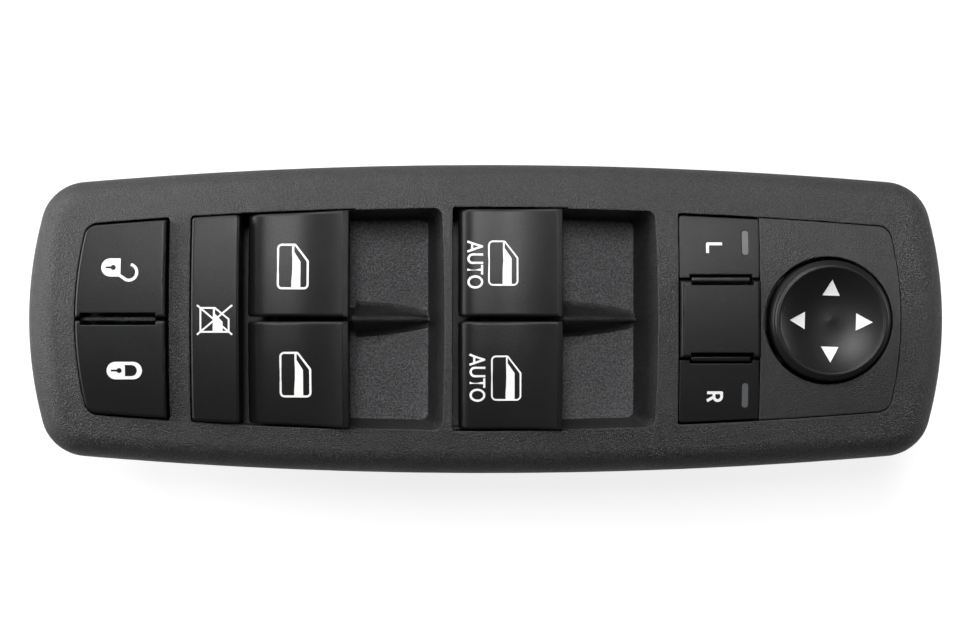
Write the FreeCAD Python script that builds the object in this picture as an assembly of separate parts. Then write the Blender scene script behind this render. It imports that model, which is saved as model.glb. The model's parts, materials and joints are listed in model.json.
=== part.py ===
import FreeCAD, Part
import math
import os

from FreeCAD import Vector

# Driver's door switch panel for power windows, door locks and mirrors, in millimetres.
# X runs along the panel to the mirror knob, Y across it to the left-hand keys, Z up out of its
# face. The origin is the middle of the flat bottom of the case.

# Bezel outline: a long barrel of four arcs with rounded corners
SIDE_BOW = 1100.0
END_BOW = 110.0
CORNER = 10.8

# Bezel heights, crown and shell
TOP = 46.0
RIM_DEPTH = 16.0
CROWN = 160.0
ROLL = 7.0
SKIN = 2.4
SKIN_STEP = 3.0

# Bands of the bezel between its outline and its openings
SIDE_BAND = 10.5
END_BAND = 12.2
PANEL_SIDE_BAND = 11.05
PANEL_END_BAND = 11.25
COLLAR = 1.6
COLLAR_DEPTH = 8.0

# Ribs between the openings along the panel, and the openings' corners
RIBS = (4.8, 1.8, 4.7)
OUTER_RADIUS = 3.5
INNER_RADIUS = 0.7
WELL_RADIUS = 1.9

# Lengths of the keys and of the gaps at their ends
LOCK_LENGTH = 20.8
LOCKOUT_LENGTH = 11.0
REAR_KEY_LENGTH = 23.7
FRONT_KEY_LENGTH = 24.2
MIRROR_KEY_LENGTH = 18.4
KEY_CLEAR = 0.5
KEY_END_GAP = 0.6
KEY_REAR_GAPS = (1.6, 1.3)
MIRROR_KEY_GAP = 0.3
KEY_GAP = 1.1
KEY_WALL = 1.8
KEY_DEPTH = 6.0
KEY_SKIN = 3.4
EDGE_ROUND = 0.7
LIP_RISE = 2.7
LIP_UNDERCUT = 4.0

# Finger wells in front of the window keys
WELL_LENGTH = 22.2
WELL_DEPTH = 15.0
WELL_WALL = 2.0
WELL_FRONT_SLOPE = 4.3
WELL_SIDE_SLOPE = 1.8
WELL_UNDER_LIP = 1.0
WELL_REAR_HEIGHT = 5.0
WELL_REAR_SHARE = 0.8
FIN_BASE = 6.0
FIN_RIDGE = 0.7
FIN_DROP = 3.0

# Case, deck and boards
COVER = 2.0
CASE_WALL = 2.0
CASE_SIDE = 0.85
CASE_END_MARGINS = (1.7, 1.0)
DECK = 2.0
DECK_GAP = 0.4
BOARD = 1.6
BOARD_HEIGHT = 11.0
BOARD_EDGE = 0.5
BOARD_POST = 2.0
SNAP_INSETS = (6.0, 6.2)
SNAP_WIDTH = 8.0
SNAP_HEIGHT = 7.0
SNAP_NUB = 1.6
SNAP_LEAF = 1.2
SNAP_GAP = 0.2
LUG = 4.2
SEAT_CLEAR = 0.3
BOSS = 3.0
BOSS_HEIGHT = 8.5
BOSS_OUT = 3.8
REAR_BOSS_OUT = 2.9
END_BOSS_OUT = 3.5
END_BOSS_Y = 12.0
FRONT_BOSS_INSET = 10.0
SCREW = 1.25
SCREW_HEAD = 2.8
SCREW_HEAD_HEIGHT = 1.8
SCREW_PLAY = 0.15

# Window key mechanism: a steel shaft, a long leg that moves a contact slider, a detent plunger
SHAFT = 1.5
SHAFT_PLAY = 0.05
HUB = 3.3
HUB_START = 6.0
HUB_END = 2.6
PIVOT_BACK = 18.5
PIVOT_DEPTH = 8.5
WINDOW_TILT = 6.0
EAR = 2.0
EAR_RADIUS = 3.0
EAR_GAP = 0.6
EAR_ROOM = 3.45
LEG = 3.0
LEG_MARGIN = 2.0
LEG_WIDTH = 4.0
RUN_PLAY = 0.3
SLIDER_HEIGHT = 4.0
SLIDER_LENGTH = 11.0
SLIDER_MARGIN = 2.0
GUIDE_WALL = 1.5
GUIDE_HEIGHT = 5.0
LEAF = 0.3
PLUNGER = 1.3
PLUNGER_LENGTH = 3.8
PLUNGER_OFFSET = 3.2
PLUNGER_SPRING = 2.0
PLUNGER_TUBE_WALL = 0.9
DETENT = 0.8

# Lock keys and window lockout key
LOCK_PROUD = 1.5
LOCK_SIDE = 0.65
LOCKOUT_PROUD = 1.8
LOCKOUT_CORNER = 0.8
LOCKOUT_TRAVEL = 2.0
LOCKOUT_STEM = 1.7
LOCKOUT_GUIDE_Y = 14.0
SPRING_RADIUS = 3.4
SPRING_WIRE = 0.8
BAR_WIDTH = 1.1
BAR_ROUND = 0.4
BAR_SIDE_GAP = 0.85
TAB_GAP = 0.7
BAR_END_GAP = 0.5
BAR_INSETS = (1.7, 2.6)
LOCK_PIVOT_Y = 4.2
LOCK_PIVOT_DEPTH = 8.0
LOCK_HUB = 1.9
LOCK_PIN = 1.2
LOCK_EAR_INSETS = (3.3, 3.5)
LOCK_EAR = 1.6
LOCK_POST_Y = 17.0
POST = 1.5
DOME = 3.2
DOME_HEIGHT = 1.8

# Mirror module
MODULE_HEIGHT = 15.5
MODULE_SIDE = 1.65
MODULE_END_MARGINS = (1.8, 1.25)
MODULE_BOARD_DEPTH = 8.5
MODULE_BOSS_INSETS = (12.3, 5.0)
MODULE_BOSS_OUTS = (5.5, 3.5)
SEAM = 0.25
LEDGE = 1.8
GLOSS_BARS = (8.55, 9.8)
GLOSS_BAR_INSETS = (2.8, 2.1)
BLANK_HALF = 7.8
BLANK_PROUD = 2.5
MIRROR_KEY_INNER = 10.3
MIRROR_KEY_SIDE = 0.6
MIRROR_KEY_DEPTH = 5.8
MIRROR_SKIN = 2.0
MIRROR_PIVOT_Y = 14.0
MIRROR_PIVOT_RISE = 3.8
MIRROR_HUB = 1.6
MIRROR_PIN = 0.9
MIRROR_EAR_INSETS = (4.1, 5.0)
MIRROR_EAR = 1.6
MIRROR_POST_Y = 19.5
LENS_INSET = 3.2
LENS_Y = 17.7
LENS_SIZE = (1.4, 5.6, 2.4)
LENS_END = 0.6
KNOB_MARGINS = (1.15, 2.0)
KNOB_Y = -0.35
KNOB = 13.9
KNOB_PROUD = 4.0
KNOB_DISH = 11.7
KNOB_DISH_DEPTH = 2.6
KNOB_WALL = 2.2
KNOB_WELL = 14.85
WELL_TUBE_WALL = 1.6
GIMBAL = 8.3
GIMBAL_WALL = 2.3
GIMBAL_HEIGHT = 3.0
GIMBAL_RISE = 4.1
GIMBAL_PIN = 1.0
GIMBAL_EAR = 1.8
KNOB_POST = 3.4
KNOB_SKIRT = 5.5
KNOB_FOOT = 1.3
KNOB_FOOT_RADIUS = 10.5
MAT = 0.8

# Sockets that face down at the bottom of each case
SOCKET_WALL = 1.5
MAIN_SOCKET_SIZE = (30.0, 12.0)
MAIN_SOCKET_BACK = 4.6
MODULE_SOCKET_SIZE = (18.0, 10.0)
MODULE_SOCKET_BACK = 8.4
SOCKET_DEPTH = 9.0
CONTACT = 0.64
CONTACT_PITCH = 2.54
CONTACT_LENGTH = 3.5

# Spring clips along the long sides
CLIP_INSETS = (10.8, 15.4, 18.4)
CLIP_OUT = 3.8
CLIP_WIDTH = 7.0
CLIP_LEAF = 0.5
CLIP_BULGE = 2.0
CLIP_BARB = 5.0
CLIP_HEIGHT = 9.0
POST_WALL = 1.8
POST_LENGTH = 12.0

# Lengths and widths that follow from the keys, wells, ribs and bands
HUB_SPAN = (HUB_START, HUB_START + LEG_MARGIN + LEG_WIDTH + PLUNGER_OFFSET + HUB_END)
LEG_SPAN = (HUB_START + LEG_MARGIN, HUB_START + LEG_MARGIN + LEG_WIDTH)
PLUNGER_Y = LEG_SPAN[1] + PLUNGER_OFFSET
KEY_REACH = HUB_SPAN[1] + EAR_GAP + EAR + EAR_ROOM + KEY_WALL
WIDTH = 2 * (KEY_REACH + KEY_CLEAR + SIDE_BAND)
LOCK_SPACE = KEY_CLEAR + LOCK_LENGTH + KEY_END_GAP
REAR_SPACE = KEY_END_GAP + LOCKOUT_LENGTH + KEY_REAR_GAPS[0] + REAR_KEY_LENGTH + WELL_LENGTH
FRONT_SPACE = KEY_REAR_GAPS[1] + FRONT_KEY_LENGTH + WELL_LENGTH
PANEL_SPACE = MIRROR_KEY_GAP + MIRROR_KEY_LENGTH + sum(KNOB_MARGINS) + 2 * KNOB_WELL
LENGTH = END_BAND + LOCK_SPACE + REAR_SPACE + FRONT_SPACE + sum(RIBS) + PANEL_SPACE + PANEL_END_BAND

# Openings and keys, each from its rear edge to its front edge
LOCK_OPENING = (END_BAND - LENGTH / 2, END_BAND - LENGTH / 2 + LOCK_SPACE)
REAR_OPENING = (LOCK_OPENING[1] + RIBS[0], LOCK_OPENING[1] + RIBS[0] + REAR_SPACE)
FRONT_OPENING = (REAR_OPENING[1] + RIBS[1], REAR_OPENING[1] + RIBS[1] + FRONT_SPACE)
PANEL_OPENING = (FRONT_OPENING[1] + RIBS[2], LENGTH / 2)
LOCK_KEYS = (LOCK_OPENING[0] + KEY_CLEAR, LOCK_OPENING[1] - KEY_END_GAP)
LOCKOUT_KEY = (REAR_OPENING[0] + KEY_END_GAP, REAR_OPENING[0] + KEY_END_GAP + LOCKOUT_LENGTH)
REAR_KEYS = (LOCKOUT_KEY[1] + KEY_REAR_GAPS[0], LOCKOUT_KEY[1] + KEY_REAR_GAPS[0] + REAR_KEY_LENGTH)
FRONT_KEYS = (FRONT_OPENING[0] + KEY_REAR_GAPS[1], FRONT_OPENING[0] + KEY_REAR_GAPS[1] + FRONT_KEY_LENGTH)
MIRROR_KEYS = (PANEL_OPENING[0] + MIRROR_KEY_GAP, PANEL_OPENING[0] + MIRROR_KEY_GAP + MIRROR_KEY_LENGTH)
LOCK_EARS = (LOCK_KEYS[0] + LOCK_EAR_INSETS[0], LOCK_KEYS[1] - LOCK_EAR_INSETS[1])
MIRROR_EARS = (MIRROR_KEYS[0] + MIRROR_EAR_INSETS[0], MIRROR_KEYS[1] - MIRROR_EAR_INSETS[1])
LENS_AT = (MIRROR_KEYS[1] - LENS_INSET, LENS_Y)
KNOB_X = MIRROR_KEYS[1] + KNOB_MARGINS[0] + KNOB_WELL

# Cases, sockets, snaps, clips and screws
CASE_HALF = KEY_REACH + CASE_SIDE
CASE_ENDS = (LOCK_OPENING[0] - CASE_END_MARGINS[0], FRONT_OPENING[1] + CASE_END_MARGINS[1])
MODULE_HALF = KEY_REACH - MODULE_SIDE
MODULE_ENDS = (PANEL_OPENING[0] + MODULE_END_MARGINS[0], LENGTH / 2 - PANEL_END_BAND - MODULE_END_MARGINS[1])
MAIN_SOCKET = (REAR_KEYS[0] - MAIN_SOCKET_BACK,) + MAIN_SOCKET_SIZE
MODULE_SOCKET = (KNOB_X - MODULE_SOCKET_BACK,) + MODULE_SOCKET_SIZE
SNAP_X = (LOCK_KEYS[1] - SNAP_INSETS[0], FRONT_KEYS[1] + SNAP_INSETS[1])
CLIP_X = tuple(keys[0] + inset for keys, inset in zip((LOCK_KEYS, REAR_KEYS, FRONT_KEYS), CLIP_INSETS))
CLIP_Y = CASE_HALF + CLIP_OUT
END_BOSSES = [(CASE_ENDS[0] - END_BOSS_OUT, END_BOSS_Y)]
SIDE_BOSSES = [(LOCK_OPENING[1] + RIBS[0] / 2, CASE_HALF + REAR_BOSS_OUT),
               (REAR_OPENING[1] + RIBS[1] / 2, CASE_HALF + BOSS_OUT),
               (FRONT_OPENING[1] - FRONT_BOSS_INSET, CASE_HALF + BOSS_OUT)]
MODULE_BOSSES = [(PANEL_OPENING[0] + MODULE_BOSS_INSETS[0], MODULE_HALF + MODULE_BOSS_OUTS[0]),
                 (MODULE_ENDS[1] - MODULE_BOSS_INSETS[1], MODULE_HALF + MODULE_BOSS_OUTS[1])]

# Heights and directions
RIM = TOP - RIM_DEPTH
WELL_FLOOR = TOP - WELL_DEPTH
DECK_TOP = WELL_FLOOR - WELL_WALL - DECK_GAP
DECK_BOTTOM = DECK_TOP - DECK
PIVOT_Z = TOP - PIVOT_DEPTH
BOARD_TOP = BOARD_HEIGHT + BOARD
MODULE_BOARD_TOP = TOP - MODULE_BOARD_DEPTH
MODULE_BOTTOM = MODULE_BOARD_TOP - MODULE_HEIGHT
CROWN_AXIS = Vector(0, 0, TOP - CROWN)
ALONG = Vector(1, 0, 0)
ACROSS = Vector(0, 1, 0)
UP = Vector(0, 0, 1)
SIDES = (("left", 1), ("right", -1))
GROUPS = (("rear", REAR_KEYS, REAR_OPENING), ("front", FRONT_KEYS, FRONT_OPENING))


def box(x, y, z):
    """A block between pairs of limits."""
    size = [max(p) - min(p) for p in (x, y, z)]
    return Part.makeBox(*size, Vector(min(x), min(y), min(z)))


def rod(radius, start, direction, length):
    """A round bar from a point."""
    return Part.makeCylinder(radius, length, start, direction)


def upright(radius, x, y, z0, z1):
    """A round bar that stands between two heights."""
    return rod(radius, Vector(x, y, z0), UP, z1 - z0)


def joined(shapes):
    """One solid of touching shapes, with its coplanar faces merged."""
    return shapes[0].multiFuse(shapes[1:]).removeSplitter()


def mirrored(pairs):
    """The same places on both sides of the panel."""
    return [(x, side * y) for x, y in pairs for side in (1, -1)]


BOSSES = mirrored(END_BOSSES + SIDE_BOSSES + MODULE_BOSSES)


def sketch(points, z=None):
    """Edges from a list in which a lone point ends a line and a pair (middle, end) makes an arc."""
    at = (lambda p: Vector(p[0], p[1], z)) if z is not None else (lambda p: Vector(p[0], 0, p[1]))
    edges, here = [], at(points[0])
    for step in points[1:]:
        if isinstance(step[0], tuple):
            middle, end = at(step[0]), at(step[1])
            edges.append(Part.Arc(here, middle, end).toShape())
        else:
            end = at(step)
            edges.append(Part.LineSegment(here, end).toShape())
        here = end
    return edges


def face(edges):
    """A flat face inside a closed chain of edges."""
    return Part.Face(Part.Wire(edges))


def half_width(x):
    """Half the width of the outline at a place along the panel."""
    return WIDTH / 2 - SIDE_BOW + math.sqrt(SIDE_BOW ** 2 - x ** 2)


def arcs_cross(c1, r1, c2, r2):
    """The crossing of two circles that is nearest the front left corner."""
    dx, dy = c2[0] - c1[0], c2[1] - c1[1]
    apart = math.hypot(dx, dy)
    along = (r1 ** 2 - r2 ** 2 + apart ** 2) / (2 * apart)
    off = math.sqrt(r1 ** 2 - along ** 2)
    mx, my = c1[0] + along * dx / apart, c1[1] + along * dy / apart
    ends = [(mx + s * off * dy / apart, my - s * off * dx / apart) for s in (1, -1)]
    return max(ends, key=lambda p: p[0] + p[1])


def barrel(side, end, z0, z1):
    """The outline moved in by a side and an end distance, as an upright prism with sharp corners."""
    cx, cy = arcs_cross((0, WIDTH / 2 - SIDE_BOW), SIDE_BOW - side, (LENGTH / 2 - END_BOW, 0), END_BOW - end)
    hx, hy = LENGTH / 2 - end, WIDTH / 2 - side
    points = [(-cx, cy), ((0, hy), (cx, cy)), ((hx, 0), (cx, -cy)), ((0, -hy), (-cx, -cy)), ((-hx, 0), (-cx, cy))]
    return face(sketch(points, z0)).extrude(Vector(0, 0, z1 - z0))


def upright_edges(shape, wanted=lambda x: True):
    """The edges of a prism that run straight up, at the places along the panel that are wanted."""
    found = []
    for edge in shape.Edges:
        a, b = edge.Vertexes[0].Point, edge.Vertexes[-1].Point
        if abs(a.x - b.x) < 1e-6 and abs(a.y - b.y) < 1e-6 and abs(a.z - b.z) > 0.5 and wanted(a.x):
            found.append(edge)
    return found


def rounded_barrel(inset, z0, z1):
    """The outline prism with its four corners rounded, moved in by one distance."""
    shape = barrel(inset, inset, z0, z1)
    return shape.makeFillet(CORNER - inset, upright_edges(shape))


def under_crown(drop, bottom=0.0):
    """Everything between a height and the crowned top moved down by a drop."""
    reach = WIDTH * 0.7
    radius = CROWN - drop
    edge = CROWN_AXIS.z + math.sqrt(radius ** 2 - reach ** 2)
    peak = CROWN_AXIS.z + radius
    low = min(bottom, edge - 1)
    x = -LENGTH
    arc = Part.Arc(Vector(x, -reach, edge), Vector(x, 0, peak), Vector(x, reach, edge)).toShape()
    corners = [Vector(x, reach, edge), Vector(x, reach, low), Vector(x, -reach, low), Vector(x, -reach, edge)]
    sides = [Part.LineSegment(a, b).toShape() for a, b in zip(corners, corners[1:])]
    return face([arc] + sides).extrude(Vector(2 * LENGTH, 0, 0))


def swept_over_crown(profile):
    """A side view in X and Z swept across the panel, round the crown's own axis."""
    angle = math.degrees(math.asin(WIDTH / 2 / CROWN))
    shape = face(profile)
    shape.rotate(CROWN_AXIS, ALONG, -angle)
    return shape.revolve(CROWN_AXIS, ALONG, 2 * angle)


def strip(ends, side, end, z0, z1):
    """The part of the barrel between two places along the panel."""
    return barrel(side, end, z0, z1).common(box(ends, (-WIDTH, WIDTH), (z0, z1))).Solids[0]


def rounded_strip(ends, side, end, z0, z1, rear_radius, front_radius):
    """A strip of the barrel with its corners rounded."""
    shape = strip(ends, side, end, z0, z1)
    middle = sum(ends) / 2
    shape = shape.makeFillet(rear_radius, upright_edges(shape, lambda x: x < middle))
    return shape.makeFillet(front_radius, upright_edges(shape, lambda x: x > middle))


def bezel_shell():
    """The crowned cover with its rolled edge, open below."""
    outer = rounded_barrel(0, RIM, TOP + 1).common(under_crown(0)).Solids[0]
    top = max(outer.Faces, key=lambda f: f.CenterOfMass.z)
    outer = outer.makeFillet(ROLL, top.OuterWire.Edges)
    low = rounded_barrel(SKIN, RIM - 1, TOP).common(under_crown(2 * SKIN))
    high = rounded_barrel(SKIN + SKIN_STEP, RIM, TOP).common(under_crown(SKIN))
    return outer.cut(low.fuse(high))


def well_wire(keys, opening, z, grow=0.0):
    """The plan of a finger well at a height, with a draft on its front and side walls."""
    rise = (z - WELL_FLOOR) / WELL_DEPTH
    back = keys[1] - WELL_UNDER_LIP - grow * WELL_REAR_SHARE
    front = opening[1] - WELL_FRONT_SLOPE * (1 - rise) + grow
    inward = WELL_SIDE_SLOPE * (1 - rise) - grow
    yb = half_width(back) - SIDE_BAND - inward
    yf = half_width(front) - SIDE_BAND - inward
    r = WELL_RADIUS + grow
    k = r * (1 - math.sqrt(0.5))
    points = [(back, -yb), (front - r, -yf), ((front - k, -yf + k), (front, -yf + r)), (front, yf - r),
              ((front - k, yf - k), (front - r, yf)), (back, yb), (back, -yb)]
    return Part.Wire(sketch(points, z))


def well_void(keys, opening):
    """The space of a finger well, up through the skin."""
    return Part.makeLoft([well_wire(keys, opening, z) for z in (WELL_FLOOR, TOP + 2)], True, True)


def well_cup(keys, opening):
    """The outside of a finger well, with a low wall under the lip of the keys."""
    low, high = WELL_FLOOR - WELL_WALL, TOP - SKIN
    cup = Part.makeLoft([well_wire(keys, opening, z, WELL_WALL) for z in (low, high)], True, True)
    back = keys[1] - WELL_UNDER_LIP
    rear_top = WELL_FLOOR + WELL_REAR_HEIGHT
    notch = box((back - 2 * WELL_WALL, back), (-WIDTH, WIDTH), (rear_top, TOP))
    return cup.cut(notch)


def well_fin(keys, opening):
    """The tapering fin that splits a well between its two keys."""
    back = keys[1] - WELL_UNDER_LIP - WELL_WALL / 2
    tip = opening[1] - WELL_FRONT_SLOPE
    low = WELL_FLOOR - WELL_WALL / 2
    height = TOP - FIN_DROP - low
    sections = []
    for share, base, rise in ((0.0, FIN_BASE, 1.0), (0.5, FIN_BASE * 0.72, 0.62), (1.0, FIN_RIDGE, 0.12)):
        x = back + share * (tip - back)
        top = low + height * rise
        corners = [(base / 2, low), (FIN_RIDGE / 2, top), (-FIN_RIDGE / 2, top), (-base / 2, low)]
        loop = [Vector(x, y, z) for y, z in corners + corners[:1]]
        sections.append(Part.makePolygon(loop))
    return Part.makeLoft(sections, True, False)


def boss_top(x):
    """How high a boss runs: under the rolled edge along the sides, up to the skin at the rear end."""
    if abs(x) > LENGTH / 2 - END_BAND:
        return TOP - SKIN - EDGE_ROUND
    return RIM + BOSS_HEIGHT


def bezel():
    """The crowned moulding with its openings, finger wells, fins, lock bar and bosses."""
    core = under_crown(SKIN / 2)
    low = TOP - COLLAR_DEPTH
    extras = []
    for ends, end_band in ((LOCK_OPENING, END_BAND), (REAR_OPENING, 0), (FRONT_OPENING, 0)):
        wide = (ends[0] - COLLAR, ends[1] + COLLAR)
        extras.append(strip(wide, SIDE_BAND - COLLAR, max(end_band - COLLAR, 0), low, TOP).common(core))
    wide = (PANEL_OPENING[0] - COLLAR, PANEL_OPENING[1] + COLLAR)
    extras.append(strip(wide, PANEL_SIDE_BAND - COLLAR, PANEL_END_BAND - COLLAR, low, TOP).common(core))
    extras += [well_cup(keys, opening) for _, keys, opening in GROUPS]
    for x, y in BOSSES:
        extras.append(upright(BOSS, x, y, DECK_TOP, boss_top(x)))
    for x, y in mirrored([(x, CLIP_Y) for x in CLIP_X]):
        half = CLIP_WIDTH / 2 + 1
        extras.append(box((x - half, x + half), (y - POST_WALL / 2, y + POST_WALL / 2),
                          (RIM - POST_LENGTH, RIM + BOSS_HEIGHT)))
    body = bezel_shell().multiFuse(extras)
    low = DECK_BOTTOM
    cuts = [rounded_strip(LOCK_OPENING, SIDE_BAND, END_BAND, low, TOP + 2, OUTER_RADIUS, INNER_RADIUS)]
    for _, keys, opening in GROUPS:
        ends = (opening[0], keys[1] - WELL_UNDER_LIP - WELL_REAR_SHARE * WELL_WALL)
        cuts.append(rounded_strip(ends, SIDE_BAND, 0, low, TOP + 2, INNER_RADIUS, INNER_RADIUS / 2))
        cuts.append(well_void(keys, opening))
    cuts.append(rounded_strip(PANEL_OPENING, PANEL_SIDE_BAND, PANEL_END_BAND, low, TOP + 2,
                              INNER_RADIUS, OUTER_RADIUS))
    for x, y in BOSSES:
        cuts.append(upright(SCREW + SCREW_PLAY / 2, x, y, DECK_TOP - 1, RIM + BOSS_HEIGHT - 1.5))
    body = body.cut(Part.makeCompound(cuts))
    fins = [well_fin(keys, opening) for _, keys, opening in GROUPS]
    reliefs = [lip_relief(keys, opening) for _, keys, opening in GROUPS]
    return joined([body] + fins + [lock_bar()]).cut(Part.makeCompound(reliefs))


def lock_bar():
    """The bar between the two lock keys, on a web that joins the collar below their tabs."""
    web_top = TOP - KEY_DEPTH - BAR_END_GAP
    half = BAR_WIDTH / 2
    web = box((LOCK_OPENING[0] - 1, LOCK_OPENING[1] + 1), (-half, half), (TOP - COLLAR_DEPTH, web_top))
    return web.fuse(round_topped(box(lock_bar_ends(), (-half, half), (web_top - 1, TOP - BAR_END_GAP))))


def round_topped(bar):
    """A straight bar with its long upper edges rounded."""
    top = bar.BoundBox.ZMax
    rims = [e for e in bar.Edges if e.CenterOfMass.z > top - SEAM and e.BoundBox.XLength > BAR_WIDTH * 2]
    return bar.makeFillet(BAR_ROUND, rims)


def lock_bar_ends():
    """Where the lock bar starts and ends along the panel."""
    return LOCK_KEYS[0] + BAR_INSETS[0], LOCK_KEYS[1] - BAR_INSETS[1]


def pivot_x(keys):
    """The place of a window key's shaft, behind its lip."""
    return keys[1] - PIVOT_BACK


def ear(x, y, z, radius, wall, bore, foot, axis):
    """An upright ear with a rounded, bored top that holds a pin along an axis."""
    if axis is ACROSS:
        post = box((x - radius, x + radius), (y - wall / 2, y + wall / 2), (foot, z))
        start = Vector(x, y - wall / 2, z)
    else:
        post = box((x - wall / 2, x + wall / 2), (y - radius, y + radius), (foot, z))
        start = Vector(x - wall / 2, y, z)
    hole = rod(bore, start - axis, axis, wall + 2)
    return post.fuse(rod(radius, start, axis, wall)).cut(hole)


def shaft_ears():
    """The ears that hold the two window key shafts, one each side of every key's hub."""
    places = []
    for _, keys, _ in GROUPS:
        for side in (1, -1):
            inner = HUB_SPAN[0] - EAR_GAP - EAR / 2
            outer = HUB_SPAN[1] + EAR_GAP + EAR / 2
            places += [(pivot_x(keys), side * inner), (pivot_x(keys), side * outer)]
    foot = DECK_TOP - DECK / 2
    return [ear(x, y, PIVOT_Z, EAR_RADIUS, EAR, SHAFT, foot, ACROSS) for x, y in places]


def lock_ears():
    """The ears that hold the moulded pins of the two lock keys."""
    z = TOP - LOCK_PIVOT_DEPTH
    bore = LOCK_PIN + SHAFT_PLAY
    foot = DECK_TOP - DECK / 2
    return [ear(x, side * LOCK_PIVOT_Y, z, LOCK_HUB, LOCK_EAR, bore, foot, ALONG)
            for x in LOCK_EARS for side in (1, -1)]


def detents():
    """Pairs of small ramps on the deck that centre the plungers of the window keys."""
    ramps = []
    inner = PLUNGER + math.sin(math.radians(WINDOW_TILT)) * (PIVOT_Z - DECK_TOP) + RUN_PLAY
    for _, keys, _ in GROUPS:
        for side in (1, -1):
            for way in (1, -1):
                x = pivot_x(keys) + way * inner
                points = [(x, DECK_TOP), (x + way * 2 * DETENT, DECK_TOP + DETENT),
                          (x + way * 3 * DETENT, DECK_TOP), (x, DECK_TOP)]
                ramp = face(sketch(points)).extrude(ACROSS * 2 * PLUNGER)
                ramp.translate(ACROSS * (side * PLUNGER_Y - PLUNGER))
                ramps.append(ramp)
    return ramps


def leg_arm():
    """The length of a window key's leg from its shaft to the contact slider."""
    return PIVOT_Z - slider_bottom() - SLIDER_HEIGHT / 2


def slider_bottom():
    """The underside of the contact sliders, over their wiper leaves."""
    return BOARD_TOP + RUN_PLAY + LEAF


def leg_swing(z):
    """How far a window key's leg moves along the panel at a height."""
    return abs(PIVOT_Z - z) * math.sin(math.radians(WINDOW_TILT))


def lug(x, y, wall_y, wall_x=None):
    """A flange under a boss, joined to the wall of its case, with a screw hole."""
    plate = upright(LUG, x, y, DECK_BOTTOM, DECK_TOP)
    if wall_x is None:
        inner = math.copysign(wall_y - CASE_WALL / 2, y)
        plate = plate.fuse(box((x - LUG, x + LUG), (inner, y), (DECK_BOTTOM, DECK_TOP)))
    else:
        plate = plate.fuse(box((x, wall_x), (y - LUG, y + LUG), (DECK_BOTTOM, DECK_TOP)))
    plate = plate.common(rounded_barrel(SKIN + SEAT_CLEAR, DECK_BOTTOM - 1, DECK_TOP + 1))
    return plate.cut(upright(SCREW + SCREW_PLAY, x, y, DECK_BOTTOM - 1, DECK_TOP + 1))


def rear_lugs():
    """The flanges behind the rear wall of the case."""
    return [lug(x, y, 0, CASE_ENDS[0] + CASE_WALL / 2) for x, y in mirrored(END_BOSSES)]


def main_case():
    """The case under the window and lock keys, open below, with the ears on its deck."""
    outer = box(CASE_ENDS, (-CASE_HALF, CASE_HALF), (COVER, DECK_TOP))
    outer = outer.makeFillet(CASE_WALL, upright_edges(outer))
    inside = box((CASE_ENDS[0] + CASE_WALL, CASE_ENDS[1] - CASE_WALL),
                 (-CASE_HALF + CASE_WALL, CASE_HALF - CASE_WALL), (COVER - 1, DECK_BOTTOM))
    pieces = [outer.cut(inside)] + shaft_ears() + lock_ears() + detents() + rear_lugs()
    pieces += [lug(x, y, CASE_HALF) for x, y in mirrored(SIDE_BOSSES)]
    for x in SNAP_X:
        for side in (1, -1):
            nub = box((x - SNAP_WIDTH / 4, x + SNAP_WIDTH / 4),
                      (side * (CASE_HALF - 0.5), side * (CASE_HALF + SNAP_GAP + SNAP_LEAF / 2)),
                      (SNAP_HEIGHT / 2, SNAP_HEIGHT / 2 + SNAP_NUB))
            pieces.append(nub)
    body = joined(pieces)
    return body.cut(Part.makeCompound(deck_slots()))


def deck_slots():
    """Holes through the deck for the legs of the window keys and the stems of the lockout key."""
    cuts = []
    for _, keys, _ in GROUPS:
        half = LEG / 2 + leg_swing(DECK_BOTTOM) + 2 * RUN_PLAY
        for side in (1, -1):
            ys = (side * (LEG_SPAN[0] - KEY_CLEAR), side * (LEG_SPAN[1] + KEY_CLEAR))
            x = pivot_x(keys)
            cuts.append(box((x - half, x + half), ys, (DECK_BOTTOM - 1, DECK_TOP + 1)))
    x = sum(LOCKOUT_KEY) / 2
    half = LOCKOUT_STEM + RUN_PLAY
    for y in (0, LOCKOUT_GUIDE_Y, -LOCKOUT_GUIDE_Y):
        cuts.append(box((x - half, x + half), (y - half, y + half), (DECK_BOTTOM - 1, DECK_TOP + 1)))
    return cuts


def bottom_cover():
    """The flat bottom with a hole for the connector, snap tabs and posts under the board."""
    plate = box(CASE_ENDS, (-CASE_HALF, CASE_HALF), (0, COVER))
    plate = plate.makeFillet(CASE_WALL, upright_edges(plate))
    pieces = [plate]
    for x in SNAP_X:
        for side in (1, -1):
            near, far = side * (CASE_HALF + SNAP_GAP), side * (CASE_HALF + SNAP_GAP + SNAP_LEAF)
            xs = (x - SNAP_WIDTH / 2, x + SNAP_WIDTH / 2)
            foot = box(xs, (side * (CASE_HALF - 1), far), (0, COVER))
            tab = box(xs, (near, far), (0, SNAP_HEIGHT))
            slot = box((x - SNAP_WIDTH / 4 - SNAP_GAP, x + SNAP_WIDTH / 4 + SNAP_GAP), (near, far),
                       (SNAP_HEIGHT / 2 - SNAP_GAP, SNAP_HEIGHT / 2 + SNAP_NUB + SNAP_GAP))
            pieces += [foot, tab.cut(slot)]
    for x, y in board_posts():
        pieces.append(upright(BOARD_POST, x, y, COVER / 2, BOARD_HEIGHT))
    x, length, width = MAIN_SOCKET
    hole = box((x - length / 2, x + length / 2), (-width / 2, width / 2), (-1, COVER + 1))
    return joined(pieces).cut(hole)


def board_posts():
    """The places of the posts that carry the main circuit board."""
    return mirrored([(CASE_ENDS[0] + 3 * CASE_WALL, CASE_HALF - 3 * CASE_WALL),
                     (CASE_ENDS[1] - 3 * CASE_WALL, CASE_HALF - 3 * CASE_WALL)])


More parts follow.
